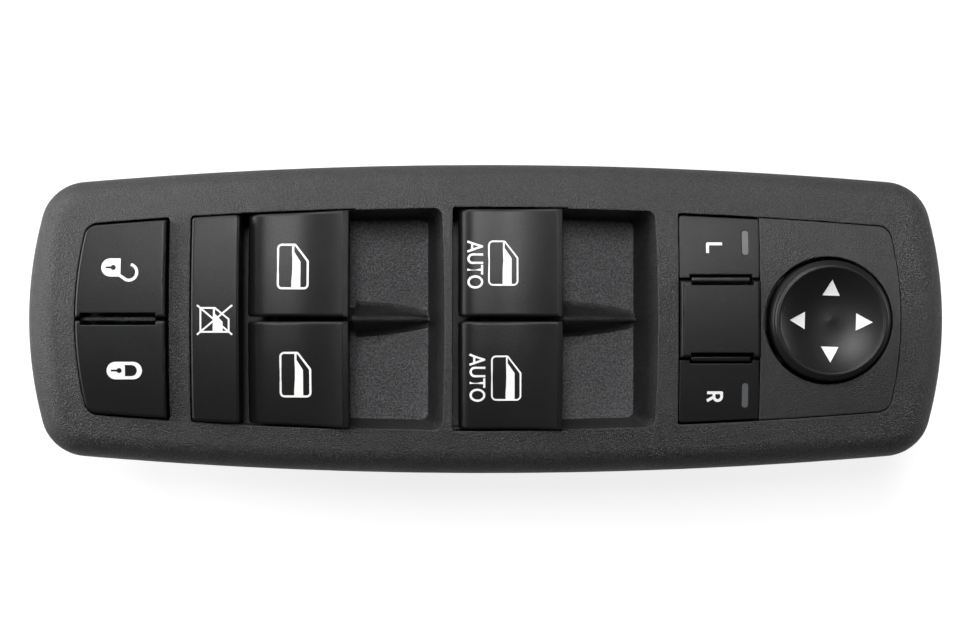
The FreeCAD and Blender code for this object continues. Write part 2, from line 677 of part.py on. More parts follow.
def main_circuit_board():
    """The board under the contact sliders."""
    inset = CASE_WALL + BOARD_EDGE
    return box((CASE_ENDS[0] + inset, CASE_ENDS[1] - inset), (inset - CASE_HALF, CASE_HALF - inset),
               (BOARD_HEIGHT, BOARD_TOP))


def socket(place, bottom, top):
    """A connector shroud whose mouth faces down."""
    x, length, width = place
    outer = box((x - length / 2, x + length / 2), (-width / 2, width / 2), (bottom, top))
    outer = outer.makeFillet(1.0, upright_edges(outer))
    half, wide = length / 2 - SOCKET_WALL, width / 2 - SOCKET_WALL
    cavity = box((x - half, x + half), (-wide, wide), (bottom - 1, bottom + SOCKET_DEPTH))
    key = box((x - 1, x + 1), (wide - 1, wide + SOCKET_WALL / 2), (bottom, bottom + SOCKET_DEPTH + 0.5))
    return outer.cut(cavity).fuse(key).removeSplitter()


def contacts(place, bottom, columns):
    """Two rows of square pins on the ceiling of a socket."""
    x, _, _ = place
    pins = []
    half = CONTACT / 2
    roof = bottom + SOCKET_DEPTH
    for column in range(columns):
        cx = x + (column - (columns - 1) / 2) * CONTACT_PITCH
        for cy in (-CONTACT_PITCH / 2, CONTACT_PITCH / 2):
            pins.append(box((cx - half, cx + half), (cy - half, cy + half), (roof - CONTACT_LENGTH, roof)))
    return Part.makeCompound(pins)


def slider_guide(keys):
    """A frame on the board with a channel for each contact slider of a pair of keys."""
    x = pivot_x(keys)
    run = leg_swing(slider_bottom() + SLIDER_HEIGHT / 2) + SLIDER_LENGTH / 2 + KEY_CLEAR
    ys = slider_span()
    outer_y = ys[1] + RUN_PLAY + GUIDE_WALL
    frame = box((x - run - GUIDE_WALL, x + run + GUIDE_WALL), (-outer_y, outer_y),
                (BOARD_TOP, BOARD_TOP + GUIDE_HEIGHT))
    cuts = [box((x - run, x + run), (side * (ys[0] - RUN_PLAY), side * (ys[1] + RUN_PLAY)),
                (BOARD_TOP - 1, BOARD_TOP + GUIDE_HEIGHT + 1)) for side in (1, -1)]
    return frame.cut(Part.makeCompound(cuts))


def slider_span():
    """The inner and outer sides of a contact slider, measured from the middle of the panel."""
    return LEG_SPAN[0] - SLIDER_MARGIN, LEG_SPAN[1] + SLIDER_MARGIN


def contact_slider(keys, side):
    """The block that a window key's leg pushes along the board."""
    x, low = pivot_x(keys), slider_bottom()
    ys = [side * y for y in slider_span()]
    block = box((x - SLIDER_LENGTH / 2, x + SLIDER_LENGTH / 2), ys, (low, low + SLIDER_HEIGHT))
    half = LEG / 2 + 2 * RUN_PLAY
    slot = box((x - half, x + half), [side * (LEG_SPAN[0] - RUN_PLAY), side * (LEG_SPAN[1] + RUN_PLAY)],
               (low - 1, low + SLIDER_HEIGHT + 1))
    return block.cut(slot)


def wiper(keys, side):
    """The sprung brass leaf under a contact slider."""
    x, low = pivot_x(keys), slider_bottom()
    inset = SLIDER_MARGIN / 2
    ys = [side * (slider_span()[0] + inset), side * (slider_span()[1] - inset)]
    half = SLIDER_LENGTH / 2 - inset
    leaf = box((x - half, x + half), ys, (low - LEAF, low))
    middle = side * sum(LEG_SPAN) / 2
    split = box((x - half - 1, x + half / 2), (middle - LEAF, middle + LEAF), (low - 1, low + 1))
    return leaf.cut(split)


def crowned_prism(ends, side_band, end_band, ys, depth):
    """The plan of a key between the crown's sides, as a prism through its full height."""
    prism = strip(ends, side_band, end_band, TOP - depth, TOP + 6)
    return prism.common(box(ends, ys, (TOP - depth, TOP + 6))).Solids[0]


def window_key_profile(keys):
    """The side view of a window key: a rolled rear edge, a dished top and a lip that curls up."""
    x0, x1 = keys
    low = TOP - KEY_DEPTH
    top = [(x0, TOP - 3.0), (x0 + 0.55, TOP - 1.2), (x0 + 2.2, TOP - 0.05), (x0 + 5.0, TOP + 0.35),
           ((x0 + x1) / 2, TOP + 0.2), (x1 - 6.0, TOP + 1.1), (x1 - 1.2, TOP + LIP_RISE)]
    curve = Part.BSplineCurve()
    curve.interpolate([Vector(x, 0, z) for x, z in top])
    nose, middle, under = lip_underside(keys)
    rest = [top[-1], nose, (middle, under), (x0, low), top[0]]
    return [curve.toShape()] + sketch(rest)


def lip_underside(keys):
    """The nose of a window key's lip and two places on the hollow below it."""
    x1 = keys[1]
    return (x1, TOP + LIP_RISE / 2), (x1 - 0.7 * LIP_UNDERCUT, TOP - 1.6), (x1 - LIP_UNDERCUT, TOP - KEY_DEPTH)


def lip_relief(keys, opening):
    """The space over a well's rear end that the lips of its keys sweep when they are pressed."""
    pivot = Vector(pivot_x(keys), 0, PIVOT_Z)
    turn = FreeCAD.Rotation(ACROSS, WINDOW_TILT)
    side = half_width(keys[1]) - SIDE_BAND
    sink = CROWN - math.sqrt(CROWN ** 2 - side ** 2) + KEY_CLEAR
    low = []
    for x, z in lip_underside(keys):
        pressed = pivot + turn.multVec(Vector(x, 0, z) - pivot)
        low.append((pressed.x + KEY_CLEAR, pressed.z - sink))
    nose, middle, under = low
    under = (under[0], under[1] + sink - KEY_CLEAR)
    rear = keys[1] - 2 * LIP_UNDERCUT
    points = [nose, middle, under, (rear, under[1]), (rear, 2 * TOP), (nose[0], 2 * TOP), nose]
    prism = face(sketch(points)).extrude(ACROSS * 2 * WIDTH)
    prism.translate(-ACROSS * WIDTH)
    return prism.common(strip((opening[0], nose[0] + 1), SIDE_BAND, 0, RIM, 3 * TOP))


def window_key(keys, side):
    """A window key with its shell, hub, long leg and plunger tube."""
    ys = sorted((side * KEY_GAP / 2, side * WIDTH / 2))
    plan = crowned_prism((keys[0] - 1, keys[1] + 1), SIDE_BAND + KEY_CLEAR, 0, ys, KEY_DEPTH)
    shell = swept_over_crown(window_key_profile(keys)).common(plan).Solids[0]
    long = 0.6 * (keys[1] - keys[0])
    sides = [e for e in shell.Edges if e.BoundBox.XLength > long and e.BoundBox.ZMax > TOP]
    shell = shell.makeFillet(EDGE_ROUND, sides)
    inner = sorted((side * (KEY_GAP / 2 + KEY_WALL), side * WIDTH / 2))
    ends = (keys[0] + KEY_WALL, keys[1] - LIP_UNDERCUT - KEY_WALL)
    pocket = crowned_prism(ends, SIDE_BAND + KEY_CLEAR + KEY_WALL, 0, inner, KEY_DEPTH + 1)
    shell = shell.cut(pocket.common(under_crown(KEY_SKIN)))
    x, (near, far) = pivot_x(keys), HUB_SPAN
    start = Vector(x, side * (near if side > 0 else far), PIVOT_Z)
    hub = rod(HUB, start, ACROSS, far - near)
    roof = TOP - KEY_SKIN + 0.2
    spread = (side * near, side * far)
    web = box((x - HUB * 0.6, x + HUB * 0.6), spread, (PIVOT_Z, roof)).common(under_crown(KEY_SKIN - 0.5))
    tip = PIVOT_Z - leg_arm()
    leg = box((x - LEG / 2, x + LEG / 2), [side * y for y in LEG_SPAN], (tip, PIVOT_Z))
    leg_start = Vector(x, side * (LEG_SPAN[0] if side > 0 else LEG_SPAN[1]), tip)
    toe = rod(LEG / 2, leg_start, ACROSS, LEG_SPAN[1] - LEG_SPAN[0])
    tube = upright(PLUNGER + PLUNGER_TUBE_WALL, x, side * PLUNGER_Y, plunger_bottom() + PLUNGER_LENGTH * 0.6,
                   PIVOT_Z)
    bore = rod(SHAFT + SHAFT_PLAY, Vector(x, -WIDTH / 2, PIVOT_Z), ACROSS, WIDTH)
    well = upright(PLUNGER + SHAFT_PLAY, x, side * PLUNGER_Y, plunger_bottom() - 1, plunger_roof())
    return joined([shell, hub, web, leg, toe, tube]).cut(Part.makeCompound([bore, well]))


def plunger_bottom():
    """The tip of a detent plunger, just over the deck."""
    return DECK_TOP + RUN_PLAY


def plunger_roof():
    """The blind end of a plunger's bore."""
    return plunger_bottom() + PLUNGER_LENGTH + PLUNGER_SPRING


def plunger(keys, side):
    """A round-nosed pin in a window key's tube."""
    x, y, low = pivot_x(keys), side * PLUNGER_Y, plunger_bottom()
    pin = upright(PLUNGER, x, y, low, low + PLUNGER_LENGTH)
    nose = min(pin.Edges, key=lambda edge: edge.CenterOfMass.z)
    return pin.makeFillet(PLUNGER * 0.7, [nose])


def plunger_spring(keys, side):
    """The spring over a plunger, as the sleeve that its coils fill."""
    x, y = pivot_x(keys), side * PLUNGER_Y
    low = plunger_bottom() + PLUNGER_LENGTH
    outer = upright(PLUNGER - 0.1, x, y, low, plunger_roof())
    return outer.cut(upright(PLUNGER * 0.6, x, y, low - 1, plunger_roof() + 1))


def key_shaft(keys):
    """The steel shaft through a pair of window keys."""
    reach = HUB_SPAN[1] + EAR_GAP + EAR + 0.4
    return rod(SHAFT, Vector(pivot_x(keys), -reach, PIVOT_Z), ACROSS, 2 * reach)


def flat_topped(plan, proud):
    """A key shell whose top follows the crown, with its upper rim rounded."""
    shell = plan.common(under_crown(-proud)).Solids[0]
    top = max(shell.Faces, key=lambda f: f.CenterOfMass.z)
    return shell.makeFillet(EDGE_ROUND, top.OuterWire.Edges)


def lock_key(side):
    """A lock or unlock key, hinged beside the bar on moulded pins."""
    ys = sorted((side * TAB_GAP / 2, side * WIDTH / 2))
    plan = crowned_prism(LOCK_KEYS, SIDE_BAND + LOCK_SIDE, END_BAND + KEY_CLEAR, ys, KEY_DEPTH)
    corner = [e for e in upright_edges(plan, lambda x: x < sum(LOCK_KEYS) / 2)
              if abs(e.CenterOfMass.y) > WIDTH / 4]
    plan = plan.makeFillet(OUTER_RADIUS - KEY_CLEAR, corner)
    bar = lock_bar_ends()
    edge = BAR_WIDTH / 2 + BAR_SIDE_GAP
    notch = box((bar[0] - BAR_END_GAP, bar[1] + BAR_END_GAP), (-edge, edge), (0, 2 * TOP))
    shell = flat_topped(plan, LOCK_PROUD).cut(notch)
    ends = (LOCK_KEYS[0] + KEY_WALL, LOCK_KEYS[1] - KEY_WALL)
    inner = sorted((side * (edge + KEY_WALL), side * WIDTH / 2))
    pocket = crowned_prism(ends, SIDE_BAND + LOCK_SIDE + KEY_WALL, END_BAND + KEY_CLEAR + KEY_WALL,
                           inner, KEY_DEPTH + 1)
    shell = shell.cut(pocket.common(under_crown(KEY_SKIN)))
    y, z = side * LOCK_PIVOT_Y, TOP - LOCK_PIVOT_DEPTH
    gap = LOCK_EAR / 2 + RUN_PLAY
    hub = rod(LOCK_HUB, Vector(LOCK_EARS[0] + gap, y, z), ALONG, LOCK_EARS[1] - LOCK_EARS[0] - 2 * gap)
    web = box((LOCK_EARS[0] + gap, LOCK_EARS[1] - gap), (y - LOCK_PIN, y + LOCK_PIN), (z, TOP - KEY_SKIN + 0.3))
    reach = LOCK_EAR * 0.4
    pin = rod(LOCK_PIN, Vector(LOCK_EARS[0] - reach, y, z), ALONG, LOCK_EARS[1] - LOCK_EARS[0] + 2 * reach)
    post = upright(POST, sum(LOCK_KEYS) / 2, side * LOCK_POST_Y, lock_dome_top() + RUN_PLAY, TOP - KEY_SKIN)
    return joined([shell, hub, web, pin, post])


def lock_circuit_board():
    """The small board on the deck under the lock keys."""
    middle = sum(LOCK_KEYS) / 2
    half = (LOCK_EARS[1] - LOCK_EARS[0] - LOCK_EAR) / 2 - 1
    reach = LOCK_POST_Y + DOME + 1
    return box((middle - half, middle + half), (-reach, reach), (DECK_TOP, DECK_TOP + BOARD))


def lock_dome_top():
    """The height of the domes under the lock keys."""
    return DECK_TOP + BOARD + DOME_HEIGHT


def dome(x, y, z):
    """A rubber dome on a board."""
    return Part.makeCone(DOME, DOME * 0.65, DOME_HEIGHT, Vector(x, y, z), UP)


def lockout_key():
    """The long window lockout key, which slides straight down on three stems."""
    ys = (-WIDTH / 2, WIDTH / 2)
    plan = crowned_prism(LOCKOUT_KEY, SIDE_BAND + KEY_CLEAR, 0, ys, KEY_DEPTH)
    plan = plan.makeFillet(LOCKOUT_CORNER, upright_edges(plan))
    shell = flat_topped(plan, LOCKOUT_PROUD)
    ends = (LOCKOUT_KEY[0] + KEY_WALL, LOCKOUT_KEY[1] - KEY_WALL)
    pocket = crowned_prism(ends, SIDE_BAND + KEY_CLEAR + KEY_WALL, 0, ys, KEY_DEPTH + 1)
    pieces = [shell.cut(pocket.common(under_crown(KEY_SKIN)))]
    x = sum(LOCKOUT_KEY) / 2
    roof = TOP - KEY_SKIN + 0.5
    for y, low in ((0, lockout_tip()), (LOCKOUT_GUIDE_Y, DECK_BOTTOM - 4), (-LOCKOUT_GUIDE_Y, DECK_BOTTOM - 4)):
        pieces.append(box((x - LOCKOUT_STEM, x + LOCKOUT_STEM), (y - LOCKOUT_STEM, y + LOCKOUT_STEM), (low, roof)))
    return joined(pieces)


def lockout_tip():
    """The lower end of the lockout key's middle stem, over its contact leaf."""
    return BOARD_TOP + RUN_PLAY + LOCKOUT_TRAVEL + 2 * LEAF


def lockout_contact():
    """The brass leaf under the lockout key's middle stem."""
    x, half = sum(LOCKOUT_KEY) / 2, LOCKOUT_STEM
    return box((x - half, x + half), (-2 * half, 2 * half), (lockout_tip() - 2 * LEAF, lockout_tip()))


def lockout_spring():
    """The return spring round the middle stem, as the sleeve that its coils fill."""
    x, roof = sum(LOCKOUT_KEY) / 2, TOP - KEY_SKIN - 0.1
    outer = upright(SPRING_RADIUS, x, 0, DECK_TOP, roof)
    return outer.cut(upright(SPRING_RADIUS - SPRING_WIRE, x, 0, DECK_TOP - 1, roof + 1))


def case_screws():
    """The screws through the flanges of both cases into the bosses."""
    screws = []
    for x, y in BOSSES:
        head = upright(SCREW_HEAD, x, y, DECK_BOTTOM - SCREW_HEAD_HEIGHT, DECK_BOTTOM)
        shank = upright(SCREW, x, y, DECK_BOTTOM - 1, RIM + BOSS_HEIGHT - 3)
        screws.append(head.fuse(shank))
    return Part.makeCompound(screws)


def retaining_clips():
    """Folded spring steel clips over the lower ends of the posts."""
    clips = []
    low = RIM - POST_LENGTH
    for x, y in mirrored([(x, CLIP_Y) for x in CLIP_X]):
        side = math.copysign(1, y)
        near, far = abs(y) - POST_WALL / 2, abs(y) + POST_WALL / 2
        leaf = CLIP_LEAF
        bulge, top = far + CLIP_BULGE, low + CLIP_HEIGHT
        points = [(near, RIM - 3), (near, low), (far, low), (bulge, low + CLIP_BARB), (far + leaf, top),
                  (far + 2 * leaf, top), (bulge + leaf * 1.2, low + CLIP_BARB), (far + leaf * 0.6, low - leaf),
                  (near - leaf, low - leaf), (near - leaf, RIM - 3), (near, RIM - 3)]
        outline = [Vector(x - CLIP_WIDTH / 2, side * py, pz) for py, pz in points]
        clips.append(Part.Face(Part.makePolygon(outline)).extrude(ALONG * CLIP_WIDTH))
    return Part.makeCompound(clips)


def panel_face_rear():
    """The rear edge of the mirror panel's face, beside its keys."""
    return MIRROR_KEYS[1] + SEAM


def mirror_panel():
    """The flush panel round the knob, with the ledge that carries the mirror keys and the gimbal ears."""
    side, end = PANEL_SIDE_BAND + SEAM, PANEL_END_BAND + SEAM
    ends = (MIRROR_KEYS[0], PANEL_OPENING[1])
    body = rounded_strip(ends, side, end, MODULE_BOARD_TOP, TOP + 2, INNER_RADIUS, OUTER_RADIUS - SEAM)
    body = body.common(under_crown(0))
    wall = WELL_TUBE_WALL
    hollow = strip((panel_face_rear() + wall, ends[1]), side + wall, end + wall, 0, TOP)
    hollow = hollow.common(under_crown(MIRROR_SKIN))
    column = box((0, panel_face_rear()), (-WIDTH, WIDTH), (MODULE_BOARD_TOP + LEDGE, 2 * TOP))
    body = body.cut(Part.makeCompound([hollow, column]))
    tube = upright(KNOB_WELL + wall, KNOB_X, KNOB_Y, MODULE_BOARD_TOP, TOP).common(under_crown(MIRROR_SKIN / 2))
    tube = tube.common(box((panel_face_rear(), LENGTH), (-WIDTH, WIDTH), (0, 2 * TOP)))
    body = body.fuse(tube.common(strip((0, LENGTH), side, end, 0, 2 * TOP)))
    body = body.cut(upright(KNOB_WELL, KNOB_X, KNOB_Y, 0, 2 * TOP))
    body = body.cut(Part.makeCompound([upright(DOME + KEY_CLEAR, mirror_post_x(), y, 0, TOP - 1)
                                       for y in (MIRROR_POST_Y, -MIRROR_POST_Y)]))
    foot = MODULE_BOARD_TOP + LEDGE / 2
    key_ears = [ear(x, s * MIRROR_PIVOT_Y, mirror_pivot_z(), MIRROR_HUB, MIRROR_EAR, MIRROR_PIN + SHAFT_PLAY,
                    foot, ALONG) for x in MIRROR_EARS for s in (1, -1)]
    return joined([body] + key_ears + gimbal_ears())


def gimbal_ears():
    """The two ears inside the knob, on brackets from the wall of its well."""
    pieces = []
    low = MODULE_BOARD_TOP + MAT + RUN_PLAY
    inner = GIMBAL + KEY_CLEAR
    for way in (1, -1):
        x = KNOB_X + way * (inner + GIMBAL_EAR / 2)
        xs = (KNOB_X + way * inner, KNOB_X + way * (KNOB_WELL + WELL_TUBE_WALL / 4))
        arm = box(xs, (KNOB_Y - GIMBAL_EAR * 1.3, KNOB_Y + GIMBAL_EAR * 1.3), (low, low + LEDGE))
        upright_ear = ear(x, KNOB_Y, gimbal_z(), GIMBAL_EAR, GIMBAL_EAR, GIMBAL_PIN + SHAFT_PLAY, low + 1, ALONG)
        pieces += [arm, upright_ear]
    return pieces


def gimbal_z():
    """The height of the knob's two tilting axes."""
    return MODULE_BOARD_TOP + GIMBAL_RISE


def mirror_pivot_z():
    """The height of the mirror keys' hinges."""
    return MODULE_BOARD_TOP + MIRROR_PIVOT_RISE


def mirror_post_x():
    """The place of the mirror keys' posts along the panel."""
    return sum(MIRROR_KEYS) / 2


def mirror_bars():
    """The two gloss bars between the mirror keys."""
    low = MODULE_BOARD_TOP + LEDGE
    bars = [box(gloss_bar_ends(), [s * y for y in GLOSS_BARS], (low, TOP + 1)).common(under_crown(BAR_END_GAP / 2))
            for s in (1, -1)]
    return Part.makeCompound([round_topped(bar.Solids[0]) for bar in bars])


def gloss_bar_ends():
    """Where the gloss bars start and end along the panel."""
    return MIRROR_KEYS[0] + GLOSS_BAR_INSETS[0], MIRROR_KEYS[1] - GLOSS_BAR_INSETS[1]


def bar_notch(inner, outer):
    """The space round a gloss bar that the keys beside it leave, on both sides of the panel."""
    rear, front = gloss_bar_ends()
    ends = (rear - BAR_END_GAP, front + BAR_END_GAP)
    return Part.makeCompound([box(ends, (s * inner, s * outer), (0, 2 * TOP)) for s in (1, -1)])


def mirror_blank_key():
    """The blank raised filler between the two mirror keys."""
    middle = sum(GLOSS_BARS) / 2
    reach = middle - TAB_GAP / 2
    depth = TOP - MODULE_BOARD_TOP - LEDGE
    side = PANEL_SIDE_BAND + MIRROR_KEY_SIDE
    plan = crowned_prism(MIRROR_KEYS, side, 0, (-reach, reach), depth)
    shell = flat_topped(plan, BLANK_PROUD).cut(bar_notch(BLANK_HALF, WIDTH))
    inside = BLANK_HALF - KEY_WALL
    ends = (MIRROR_KEYS[0] + KEY_WALL, MIRROR_KEYS[1] - KEY_WALL)
    return shell.cut(box(ends, (-inside, inside), (0, TOP)).common(under_crown(MIRROR_SKIN - BLANK_PROUD)))


def mirror_key(side):
    """A flush mirror selector key, hinged beside its gloss bar."""
    middle = sum(GLOSS_BARS) / 2
    ys = sorted((side * (middle + TAB_GAP / 2), side * WIDTH / 2))
    band = PANEL_SIDE_BAND + MIRROR_KEY_SIDE
    depth = MIRROR_KEY_DEPTH
    plan = crowned_prism(MIRROR_KEYS, band, 0, ys, depth)
    corner = [e for e in upright_edges(plan, lambda x: x < mirror_post_x()) if abs(e.CenterOfMass.y) > WIDTH / 4]
    plan = plan.makeFillet(INNER_RADIUS, corner).cut(bar_notch(0, MIRROR_KEY_INNER))
    shell = plan.common(under_crown(0)).Solids[0]
    ends = (MIRROR_KEYS[0] + KEY_WALL, MIRROR_KEYS[1] - KEY_WALL)
    inner = sorted((side * (MIRROR_KEY_INNER + KEY_WALL), side * WIDTH / 2))
    pocket = crowned_prism(ends, band + KEY_WALL, 0, inner, depth + 1).common(under_crown(MIRROR_SKIN))
    y, z = side * MIRROR_PIVOT_Y, mirror_pivot_z()
    gap = MIRROR_EAR / 2 + RUN_PLAY
    first, last = MIRROR_EARS
    hub = rod(MIRROR_HUB, Vector(first + gap, y, z), ALONG, last - first - 2 * gap)
    web = box((first + gap, last - gap), (y - MIRROR_PIN, y + MIRROR_PIN), (z, TOP))
    post = upright(POST, mirror_post_x(), side * MIRROR_POST_Y, MODULE_BOARD_TOP + DOME_HEIGHT + RUN_PLAY, TOP)
    inside = Part.makeCompound([web, post]).common(under_crown(MIRROR_SKIN - 0.3))
    reach = MIRROR_EAR * 0.4
    pin = rod(MIRROR_PIN, Vector(first - reach, y, z), ALONG, last - first + 2 * reach)
    body = joined([shell.cut(pocket), hub, pin] + inside.Solids)
    return body.cut(lens_block(side))


def lens_block(side):
    """The upright light guide of a mirror key, from the crown down."""
    (x, y), (length, width, height) = LENS_AT, LENS_SIZE
    y *= side
    block = box((x - length / 2, x + length / 2), (y - width / 2, y + width / 2), (TOP - 3 * height, TOP))
    block = block.makeFillet(LENS_END, upright_edges(block))
    return block.common(under_crown(0)).cut(under_crown(height))


def knob_dome_mat():
    """The rubber ring with four domes under the mirror knob."""
    low = MODULE_BOARD_TOP
    ring = upright(KNOB_FOOT_RADIUS + DOME * 0.7, KNOB_X, KNOB_Y, low, low + MAT)
    domes = []
    for x, y in knob_feet():
        domes.append(dome(x, y, low))
    body = ring.multiFuse(domes)
    return body.cut(upright(KNOB_FOOT_RADIUS - DOME, KNOB_X, KNOB_Y, low - 1, low + 9)).removeSplitter()


def knob_feet():
    """The places of the knob's four feet, on its diagonals."""
    reach = KNOB_FOOT_RADIUS * math.sqrt(0.5)
    return [(KNOB_X + i * reach, KNOB_Y + j * reach) for i in (1, -1) for j in (1, -1)]


def mirror_gimbal():
    """The ring that tilts about X in the panel's ears and carries the knob's cross pin."""
    z = gimbal_z()
    half = GIMBAL_HEIGHT / 2
    ring = upright(GIMBAL, KNOB_X, KNOB_Y, z - half, z + half)
    ring = ring.cut(upright(GIMBAL - GIMBAL_WALL, KNOB_X, KNOB_Y, z - 9, z + 9))
    inner, outer = GIMBAL - GIMBAL_WALL / 2, GIMBAL + KEY_CLEAR + GIMBAL_EAR * 0.8
    pins = [rod(GIMBAL_PIN, Vector(KNOB_X + (inner if way > 0 else -outer), KNOB_Y, z), ALONG, outer - inner)
            for way in (1, -1)]
    hole = rod(GIMBAL_PIN + SHAFT_PLAY, Vector(KNOB_X, KNOB_Y - GIMBAL - 1, z), ACROSS, 2 * GIMBAL + 2)
    return joined([ring] + pins).cut(hole)


def mirror_knob():
    """The round four-way knob with its dished top, feet and cross pin."""
    rim, dish = TOP + KNOB_PROUD, TOP + KNOB_PROUD - KNOB_DISH_DEPTH
    skirt = MODULE_BOARD_TOP + KNOB_SKIRT
    inner, roof = KNOB - KNOB_WALL, dish - KNOB_WALL
    profile = [(0, roof), (0, dish), ((KNOB_DISH * 0.55, dish + 0.35), (KNOB_DISH, rim - 0.3)),
               ((KNOB_DISH + 0.7, rim), (KNOB - 0.7, rim - 0.9)), ((KNOB - 0.15, rim - 1.8), (KNOB, rim - 3.2)),
               (KNOB, skirt), (inner, skirt), (inner, roof - 0.6), ((inner - 0.3, roof - 0.2), (inner - 1, roof)),
               (0, roof)]
    cap = face(sketch(profile)).revolve(Vector(0, 0, 0), UP, 360)
    cap.translate(Vector(KNOB_X, KNOB_Y, 0))
    z = gimbal_z()
    post = upright(KNOB_POST, KNOB_X, KNOB_Y, z - GIMBAL_PIN - 1.2, roof + 0.5)
    reach = GIMBAL - GIMBAL_WALL * 0.3
    pin = rod(GIMBAL_PIN, Vector(KNOB_X, KNOB_Y - reach, z), ACROSS, 2 * reach)
    tip = MODULE_BOARD_TOP + DOME_HEIGHT + RUN_PLAY
    feet = [upright(KNOB_FOOT, x, y, tip, roof + 0.5) for x, y in knob_feet()]
    return joined([cap, post, pin] + feet)


def mirror_circuit_board():
    """The board under the mirror keys and the knob."""
    inset = BOARD_EDGE
    return box((MODULE_ENDS[0] + inset, MODULE_ENDS[1] - inset), (inset - MODULE_HALF, MODULE_HALF - inset),
               (MODULE_BOARD_TOP - BOARD, MODULE_BOARD_TOP))


def mirror_case():
    """The shallow tray that carries the mirror board and its connector."""
    top = MODULE_BOARD_TOP - BOARD
    tray = box(MODULE_ENDS, (-MODULE_HALF, MODULE_HALF), (MODULE_BOTTOM, top))
    tray = tray.makeFillet(CASE_WALL, upright_edges(tray))
    inside = box((MODULE_ENDS[0] + CASE_WALL, MODULE_ENDS[1] - CASE_WALL),
                 (CASE_WALL - MODULE_HALF, MODULE_HALF - CASE_WALL), (MODULE_BOTTOM + CASE_WALL, top + 1))
    lugs = [lug(x, y, MODULE_HALF) for x, y in mirrored(MODULE_BOSSES)]
    x, length, width = MODULE_SOCKET
    hole = box((x - length / 2, x + length / 2), (-width / 2, width / 2), (0, MODULE_BOTTOM + CASE_WALL + 1))
    return joined([tray.cut(inside)] + lugs).cut(hole)


def sub_parts():
    """Every sub-part by name."""
    parts = [("bezel", bezel()), ("main_case", main_case()), ("bottom_cover", bottom_cover()),
             ("main_circuit_board", main_circuit_board()), ("lock_circuit_board", lock_circuit_board()),
             ("main_connector", socket(MAIN_SOCKET, 0, BOARD_HEIGHT)),
             ("main_connector_pins", contacts(MAIN_SOCKET, 0, 8)),
             ("case_screws", case_screws()), ("retaining_clips", retaining_clips()),
             ("mirror_panel", mirror_panel()), ("mirror_bars", mirror_bars()),
             ("mirror_blank_key", mirror_blank_key()), ("mirror_case", mirror_case()),
             ("mirror_circuit_board", mirror_circuit_board()),
             ("mirror_connector", socket(MODULE_SOCKET, MODULE_BOTTOM, MODULE_BOARD_TOP - BOARD)),
             ("mirror_connector_pins", contacts(MODULE_SOCKET, MODULE_BOTTOM, 5)),
             ("knob_dome_mat", knob_dome_mat()), ("mirror_gimbal", mirror_gimbal()),
             ("mirror_knob", mirror_knob()), ("lockout_key", lockout_key()),
             ("lockout_contact", lockout_contact()), ("lockout_spring", lockout_spring())]
    for row, keys, _ in GROUPS:
        parts.append((row + "_slider_guide", slider_guide(keys)))
        parts.append((row + "_key_shaft", key_shaft(keys)))
        for name, side in SIDES:
            stem = row + "_" + name
            parts += [(stem + "_key", window_key(keys, side)), (stem + "_slider", contact_slider(keys, side)),
                      (stem + "_wiper", wiper(keys, side)), (stem + "_plunger", plunger(keys, side)),
                      (stem + "_plunger_spring", plunger_spring(keys, side))]
    for name, side in (("unlock", 1), ("lock", -1)):
        parts.append((name + "_key", lock_key(side)))
        parts.append((name + "_dome", dome(sum(LOCK_KEYS) / 2, side * LOCK_POST_Y, DECK_TOP + BOARD)))
    for name, side in SIDES:
        parts.append((name + "_mirror_key", mirror_key(side)))
        parts.append((name + "_mirror_lens", lens_block(side)))
        parts.append((name + "_mirror_dome", dome(mirror_post_x(), side * MIRROR_POST_Y, MODULE_BOARD_TOP)))
    return parts


os.makedirs("parts", exist_ok=True)
for part_name, part_shape in sub_parts():
    part_shape.exportStep(os.path.join("parts", part_name + ".step"))
    print(part_name, len(part_shape.Solids), round(part_shape.Volume, 1), part_shape.isValid())
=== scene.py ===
"""The looks of a driver's door switch panel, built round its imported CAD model.

Every length is in metres, in the CAD model's frame: X runs along the panel towards the mirror knob,
Y across it towards the left-hand keys, and Z up out of its face.
"""

from __future__ import annotations

import json
import logging
import math
from dataclasses import dataclass, field, replace
from enum import Enum
from typing import Iterable, Sequence

import bmesh
import bpy
from mathutils import Matrix, Vector
from mathutils.bvhtree import BVHTree
from mathutils.geometry import delaunay_2d_cdt


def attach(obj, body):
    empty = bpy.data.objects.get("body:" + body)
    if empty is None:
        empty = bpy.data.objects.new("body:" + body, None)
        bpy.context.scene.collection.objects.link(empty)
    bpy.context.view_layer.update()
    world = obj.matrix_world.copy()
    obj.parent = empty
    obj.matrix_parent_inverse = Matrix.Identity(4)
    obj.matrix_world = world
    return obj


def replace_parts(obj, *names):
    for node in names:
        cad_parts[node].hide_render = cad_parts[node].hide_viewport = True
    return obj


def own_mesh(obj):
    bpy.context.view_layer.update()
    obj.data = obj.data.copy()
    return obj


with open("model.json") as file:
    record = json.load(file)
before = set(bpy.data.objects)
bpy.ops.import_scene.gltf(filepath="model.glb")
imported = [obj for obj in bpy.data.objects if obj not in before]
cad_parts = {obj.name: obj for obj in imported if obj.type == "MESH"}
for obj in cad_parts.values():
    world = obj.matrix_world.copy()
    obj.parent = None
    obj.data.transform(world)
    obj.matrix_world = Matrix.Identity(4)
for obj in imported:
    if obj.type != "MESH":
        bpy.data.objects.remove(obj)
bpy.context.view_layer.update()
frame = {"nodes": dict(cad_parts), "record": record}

LOG = logging.getLogger("door_panel")
MM = 0.001
Point = tuple[float, float]
Triple = tuple[float, float, float]
Colour = tuple[float, float, float]
Node = bpy.types.Node
Socket = bpy.types.NodeSocket


class Hand(Enum):
    """The side of the panel that a key sits on."""

    LEFT = 1
    RIGHT = -1


